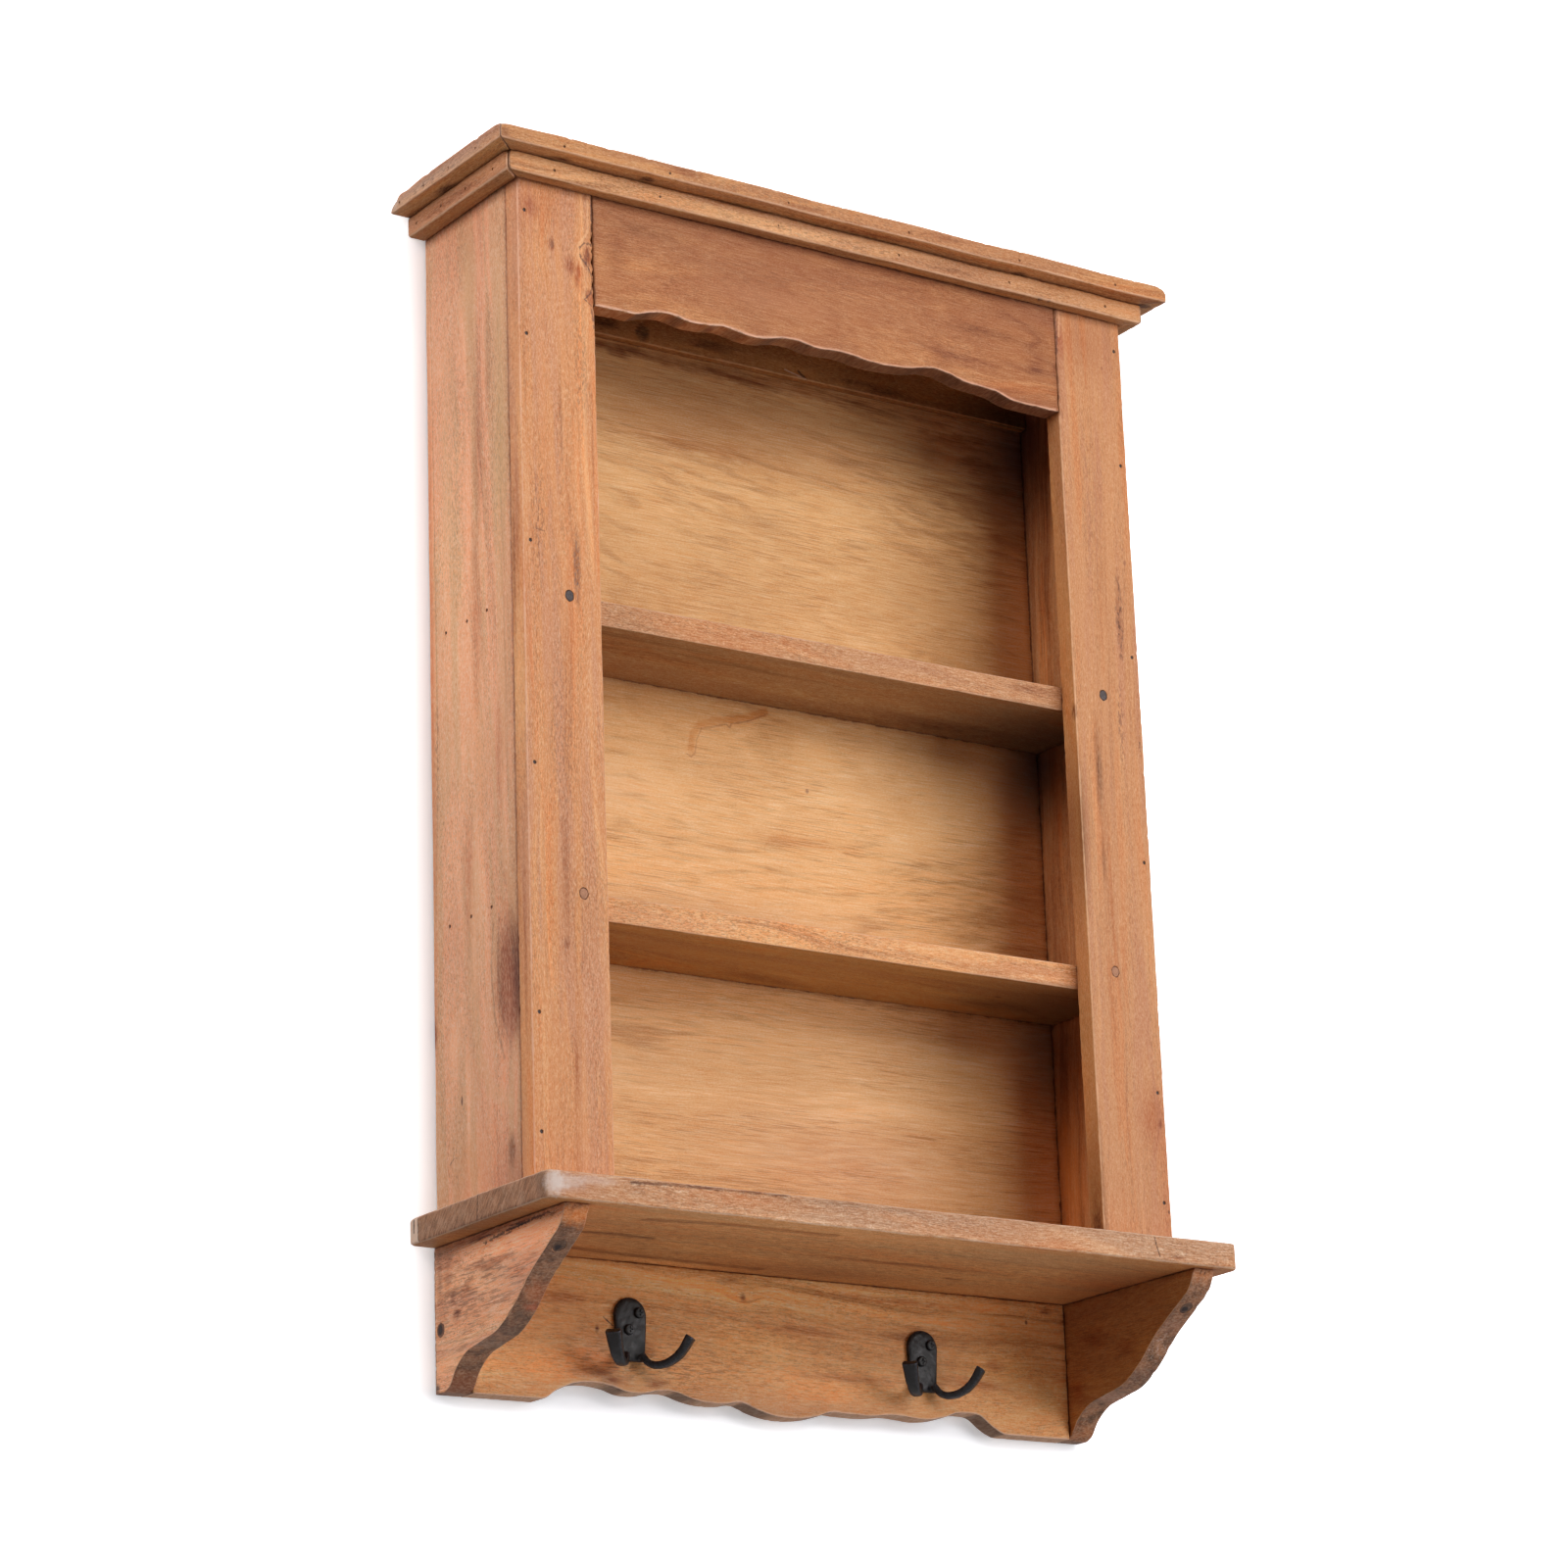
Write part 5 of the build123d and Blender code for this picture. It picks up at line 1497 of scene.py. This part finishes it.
for name, seed, face, manner in (
    (
        "bracket_left", 34.9, (0, -BRACKET_OUTER, bracket_left_face),
        {"contrast": 1.3, "warmth": 0.4, "dash_size": (14, 1), "figure": 1.4, "specks": 0.75},
    ),
    (
        "bracket_right", 39.1, (0, BRACKET_OUTER - BRACKET_THICKNESS, bracket_right_face),
        {"contrast": 0.8, "warmth": 0.8, "dash_size": (8, 0.9), "figure": 0.75, "specks": 0.35},
    ),
):
    board_wood(
        name, ALONG_Y_SIDE, pith=(20, -50), tilt=0.05, seed=seed, bands=(18, 6, 1.4), pore_size=(16, 0.8),
        blotch=0.6, wear=0.8, wear_reach=2, wear_colour=(226, 176, 146), dirt=0.85, extra=dark_scroll,
        marks=(face,), **manner,
    )


def mitred(paint, colour):
    """A dark line where the cornice strips meet at the mitre."""
    x, y, _ = paint.split(paint.world)
    aside = paint.maths("ABSOLUTE", x) - HALF_WIDTH
    offset = aside * 0.666 - (-DEPTH - y) * 0.746
    line = paint.span(paint.maths("ABSOLUTE", offset), 0.8, 0.2)
    return paint.mix(line * 0.65, colour, shade(112, 84, 72))


upper_front_face = (
    ("paint", 0, 789, 260, 8, (206, 138, 88), 0.3),
    ("tint", -150, 790, 30, 5, (206, 180, 166), 0.9, 1, 1.2),
    ("tint", -40, 786, 40, 3, (196, 166, 146), 0.8, 1, 1.2),
    ("tint", 90, 790, 30, 4, (200, 172, 156), 0.8, 1, 1.2),
    ("dashes", 0, 788.5, 300, 7, (92, 60, 44), 0.4),
    ("tint", -307, 787, 6, 8, (190, 170, 162)),
)
upper_under_face = (
    # The three dark tints are painted shadow under the upper strip, in front of the lower strip.
    ("tint", -178, -150, 9, 6, (96, 64, 50), 0.9, 0.7, 1),
    ("tint", -252, -150, 12, 5, (120, 84, 66), 0.9, 0.9, 1),
    ("tint", 174, -147, 10, 6, (120, 84, 62), 0.9, 0.8, 1),
    ("tint", 20, -150, 60, 4, (206, 172, 150), 0.9, 1, 1),
    ("dashes", 0, -150, 320, 8, (70, 44, 32), 0.3, 0.6, 1),
)
lower_front_face = (
    ("paint", -261, 782, 10, 1.5, (34, 20, 15), 0.95, 0.3, 0.3),
    ("tint", 0, 781.6, 300, 2.4, (188, 184, 182), 0.9, 0.8, 1),
    ("paint", -100, 773, 120, 5, (226, 172, 116), 0.35, 1, 0.9),
    ("paint", 195.6, 767, 2.6, 1.6, (84, 54, 40), 0.9, 0.4),
    ("paint", 203.8, 766.8, 1.8, 1.3, (84, 54, 40), 0.9, 0.4),
    ("tint", 110, 772, 30, 4, (190, 170, 156), 0.8, 1, 1.2),
    ("dashes", 0, 772, 290, 7, (96, 64, 44), 0.45),
    # Painted light on the left, painted shade in the middle and on the right.
    ("tone", -240, 773, 90, 16, (1.15, 1.2, 1.2)),
    ("tone", 40, 773, 120, 16, (0.92, 0.9, 0.88)),
    ("tone", 200, 773, 160, 16, (0.9, 0.88, 0.88)),
)
upper_left_side = (
    ("paint", -60, 787, 110, 8, (186, 152, 132), 0.6, 1, 1),
    ("dashes", -70, 786, 90, 7, (84, 60, 48), 0.6),
    ("paint", -4, 787, 10, 9, (190, 168, 156), 0.6, 1, 1),
)
# Both are painted shadow under the upper strip, beside the lower strip.
upper_left_under = (("tint", -298, -60, 8, 16, (110, 80, 64), 0.9, 0.8, 1.2),)
upper_right_under = (("paint", 299, -146, 10, 5, (70, 42, 30), 0.8, 0.6),)
lower_left_side = (
    ("tint", -70, 772, 70, 5, (190, 160, 144), 0.8, 1, 1.2),
    ("dashes", -70, 773, 80, 7, (84, 56, 42), 0.6),
)
moulding_marks = {
    "upper_moulding_front": (
        (1, -DEPTH - UPPER_AHEAD, upper_front_face),
        (2, UPPER_UNDERSIDE, upper_under_face),
    ),
    "upper_moulding_left": (
        (0, -HALF_WIDTH - UPPER_OUT, upper_left_side),
        (2, UPPER_UNDERSIDE, upper_left_under),
    ),
    "upper_moulding_right": ((2, UPPER_UNDERSIDE, upper_right_under),),
    "lower_moulding_front": ((1, -DEPTH - LOWER_AHEAD, lower_front_face),),
    "lower_moulding_left": ((0, -HALF_WIDTH - LOWER_OUT, lower_left_side),),
}
# Whole sides of the cornice: painted light on the upper strip's underside and left side, painted shade on the
# lower strip's.
moulding_faces = (
    ("upper_moulding", ((2, -1, (1.12, 1.22, 1.26)), (0, -1, (1.12, 1.28, 1.75)))),
    ("lower_moulding", ((2, -1, (0.8, 0.78, 0.7)), (0, -1, (0.86, 0.79, 0.85)))),
)
strips = (("_front", ALONG_X_FRONT), ("_left", ALONG_Y_SIDE), ("_right", ALONG_Y_SIDE))
for number, (layer, faces) in enumerate(moulding_faces):
    for index, (end, axes) in enumerate(strips):
        board_wood(
            layer + end, axes, pith=(20, -40), tilt=0.03, seed=41 + 3.3 * number + 1.1 * index,
            bands=(14, 4.5, 1.2), blotch=0.7, blotch_size=(90, 20, 20), specks=0.6, wear=0.6, wear_reach=2,
            dirt=0.35, extra=mitred, faces=faces, marks=moulding_marks.get(layer + end, ()),
        )

# Metal and plugs.


def tones(positions, colours):
    """The stops of a ramp, from positions and screen colours."""
    return [(position, shade(*colour)) for position, colour in zip(positions, colours)]


def iron(name, seed, rubbed=0):
    """Black cast iron, a little brown in its hollows and bluish where it is rubbed."""
    paint = Paint(name)
    grain = paint.noise(paint.world, (1.2, 1.2, 1.2), seed, detail=4, roughness=0.65)
    cloud = paint.noise(paint.world, (8, 8, 8), seed + 2, detail=3)
    colour = paint.ramp(cloud, *tones((0.3, 0.5, 0.7), ((14, 10, 10), (20, 16, 17), (29, 26, 29))))
    colour = colour * paint.span(grain, 0.3, 0.7, 0.7, 1.35)
    bulge = paint.attribute("arris") + paint.span(grain, 0.3, 0.7, -0.3, 0.3)
    colour = paint.mix(paint.span(bulge, 0.2, 1.4, 0, rubbed), colour, shade(88, 90, 102))
    rough = paint.span(grain, 0.3, 0.7, 0.36, 0.56) - paint.span(cloud, 0.45, 0.65, 0, 0.1)
    return paint.finish(colour, rough, grain, relief=0.4, depth=0.4, specular=0.5, metallic=0.4)


def steel(name, seed):
    """Dull, dark steel of nails and screws, with a little rust."""
    paint = Paint(name)
    grain = paint.noise(paint.world, (0.9, 0.9, 0.9), seed, detail=3, roughness=0.6)
    colour = paint.ramp(grain, *tones((0.3, 0.55, 0.8), ((44, 32, 28), (66, 52, 46), (96, 82, 74))))
    rough = paint.span(grain, 0.3, 0.7, 0.5, 0.7)
    return paint.finish(colour, rough, grain, relief=0.3, depth=0.2, specular=0.5, metallic=0.5)


def plug(name, palette, seed, rim=None, heart=None):
    """A wood plug: end grain, with a dark glue line round it where the piece measures its rim.

    heart is (places, reach, colour around): the plug's own colour only shows in a ragged spot at each place.
    """
    paint = Paint(name)
    cloud = paint.noise(paint.world, (2, 2, 2), seed, detail=4, roughness=0.7)
    colour = paint.ramp(cloud, *tones((0.3, 0.55, 0.8), palette))
    if rim:
        colour = paint.mix(paint.span(paint.attribute("arris"), 0.9, 0.2), colour, shade(*rim))
    if heart:
        places, reach, around = heart
        dark = 0
        for place in places:
            dark = paint.maths("MAXIMUM", dark, paint.spot(place, reach, 0.5, 0.9, (2.4, 2.4, 2.4), seed))
        colour = paint.mix(dark, paint.deepen(shade(*around), paint.span(cloud, 0.3, 0.7, 1.25, 0.8)), colour)
    return paint.finish(colour, paint.span(cloud, 0.3, 0.7, 0.5, 0.75), cloud, relief=0.4, depth=0.3)


hook_iron = iron("cast_iron", 2, 0.65)
for _, end in SIDES:
    dress(pieces["robe_hook_" + end], hook_iron)
for tone, palette, seed, rim in (
    ("dark", ((52, 42, 40), (84, 74, 73), (122, 114, 113)), 8, (54, 36, 30)),
    ("light", ((150, 104, 78), (178, 126, 96), (190, 144, 114)), 9, (112, 72, 54)),
):
    dress(pieces["stile_plugs_" + tone], plug(tone + "_plug", palette, seed, rim))

dull_steel = steel("dull_steel", 6)
finishes = {"hook_screws": iron("screw_iron", 4)}
for kind, palette, seed, places, reach, around in (
    (
        "side", ((34, 22, 20), (52, 34, 30), (70, 50, 44)), 10,
        ((-BRACKET_OUTER, -8.4, -69.6), (BRACKET_OUTER, -8.4, -69.6)), (8, 4.2, 5), (120, 82, 64),
    ),
    (
        "front", ((36, 27, 28), (54, 42, 42), (80, 62, 56)), 11,
        ((-275.6, -152, -37), (274.4, -152, -37)), (3.8, 3.6, 5), (112, 84, 68),
    ),
):
    heart = (places, reach, around)
    finishes[f"bracket_{kind}_plugs"] = plug(kind + "_plug", palette, seed, heart=heart)
for name in slots:
    if name in finishes or name.endswith(("_nails", "stile_screws", "side_screws", "front_screws")):
        dress(frame["nodes"][name], finishes.get(name, dull_steel))

# Camera.

camera_data = bpy.data.cameras.new("camera")
camera_data.sensor_fit = "HORIZONTAL"
camera_data.sensor_width = 36
camera_data.lens = 107.114
camera_data.shift_x = 0.00463
camera_data.shift_y = -0.01415
camera_data.clip_end = 60
camera = place_object("camera", camera_data)
right = Vector((0.82594, -0.562759, -0.033548)).normalized()
up = Vector((-0.141346, -0.264321, 0.954021))
up = (up - right * up.dot(right)).normalized()
turned = Matrix((right, up, right.cross(up))).transposed().to_4x4()
camera.matrix_world = Matrix.Translation(Vector((-1.93867, -2.82015, -0.67435))) @ turned
bpy.context.scene.camera = camera

# Stage and light.


def seen(nodes, operation):
    """Above 0 for rays that show a surface to the eye: straight, in a mirror or through glass."""
    path = nodes.node("LightPath")
    straight, mirrored, through = (
        Value(nodes, path.outputs[f"Is {kind} Ray"]) for kind in ("Camera", "Glossy", "Transmission")
    )
    return nodes.maths(operation, nodes.maths(operation, straight, mirrored), through)


def stage_material(name, colour, lift, fade=None):
    """A pale matt surface that shows near white to the eye and keeps the object's shadow.

    With fade, the lift grows to 1 over that many metres away from the shelf.
    """
    material = bpy.data.materials.new(name)
    stage = Nodes(material)
    strength = lift
    if fade:
        away = stage.vector("ABSOLUTE", stage.out("TexCoord", "Object") - (0, 0, 0.34))
        past = stage.vector("MAXIMUM", away - (0.282, 1, 0.452))
        far = stage.vector("LENGTH", past)
        strength = stage.out("MapRange", Value=far, From_Max=fade, To_Min=lift, To_Max=1)
    glow = stage.out("Emission", Strength=seen(stage, "ADD") * strength)
    total = stage.out("AddShader", in0=stage.out("BsdfDiffuse", Color=(*colour, 1)), in1=glow)
    behind = stage.out("NewGeometry", "Backfacing")
    surface = stage.out("MixShader", Fac=behind, in1=total, in2=stage.out("BsdfTransparent"))
    stage.feed(stage.node("OutputMaterial"), Surface=surface)
    return material


def stage_plane(name, corners, material):
    mesh = bpy.data.meshes.new(name)
    mesh.from_pydata(corners, [], [tuple(range(len(corners)))])
    mesh.materials.append(material)
    plane = place_object(name, mesh)
    return plane


FLOOR, REACH, WALL = -1.5, 12, 0.0008
wall = stage_plane(
    "wall",
    [(-REACH, WALL, FLOOR), (REACH, WALL, FLOOR), (REACH, WALL, REACH), (-REACH, WALL, REACH)],
    stage_material("wall_paint", (0.88, 0.88, 0.93), 0.3, 0.026),
)
for ray in ("visible_diffuse", "visible_glossy", "visible_transmission", "visible_shadow"):
    setattr(wall, ray, False)
stage_plane(
    "floor",
    [(-REACH, -REACH, FLOOR), (REACH, -REACH, FLOOR), (REACH, REACH, FLOOR), (-REACH, REACH, FLOOR)],
    stage_material("floor_paint", (0.8, 0.8, 0.8), 0.3),
)

world = bpy.data.worlds.new("world")
bpy.context.scene.world = world
sky = Nodes(world)
soft, white = (sky.out("Background", Color=(1, 1, 1, 1), Strength=strength) for strength in (0.1, 1))
sky_mix = sky.out("MixShader", Fac=seen(sky, "MAXIMUM"), in1=soft, in2=white)
sky.feed(sky.node("OutputWorld"), Surface=sky_mix)

centre = Vector((0, -0.08, 0.34))
for name, azimuth, elevation, power in (
    ("front_lamp", 10, 25, 35),
    ("right_lamp", 40, 0, 30),
    ("left_lamp", -80, 25, 41),
):
    # azimuth is 0 in front of the shelf and positive to the right
    light = bpy.data.lights.new(name, "AREA")
    light.shape = "RECTANGLE"
    light.size = light.size_y = 1.4
    light.energy = power
    lamp = place_object(name, light)
    turn, rise = math.radians(azimuth), math.radians(elevation)
    direction = Vector((math.sin(turn) * math.cos(rise), -math.cos(turn) * math.cos(rise), math.sin(rise)))
    lamp.location = centre + direction * 2.6
    lamp.rotation_euler = direction.to_track_quat("Z", "Y").to_euler()

bpy.context.scene.view_settings.view_transform = "Standard"
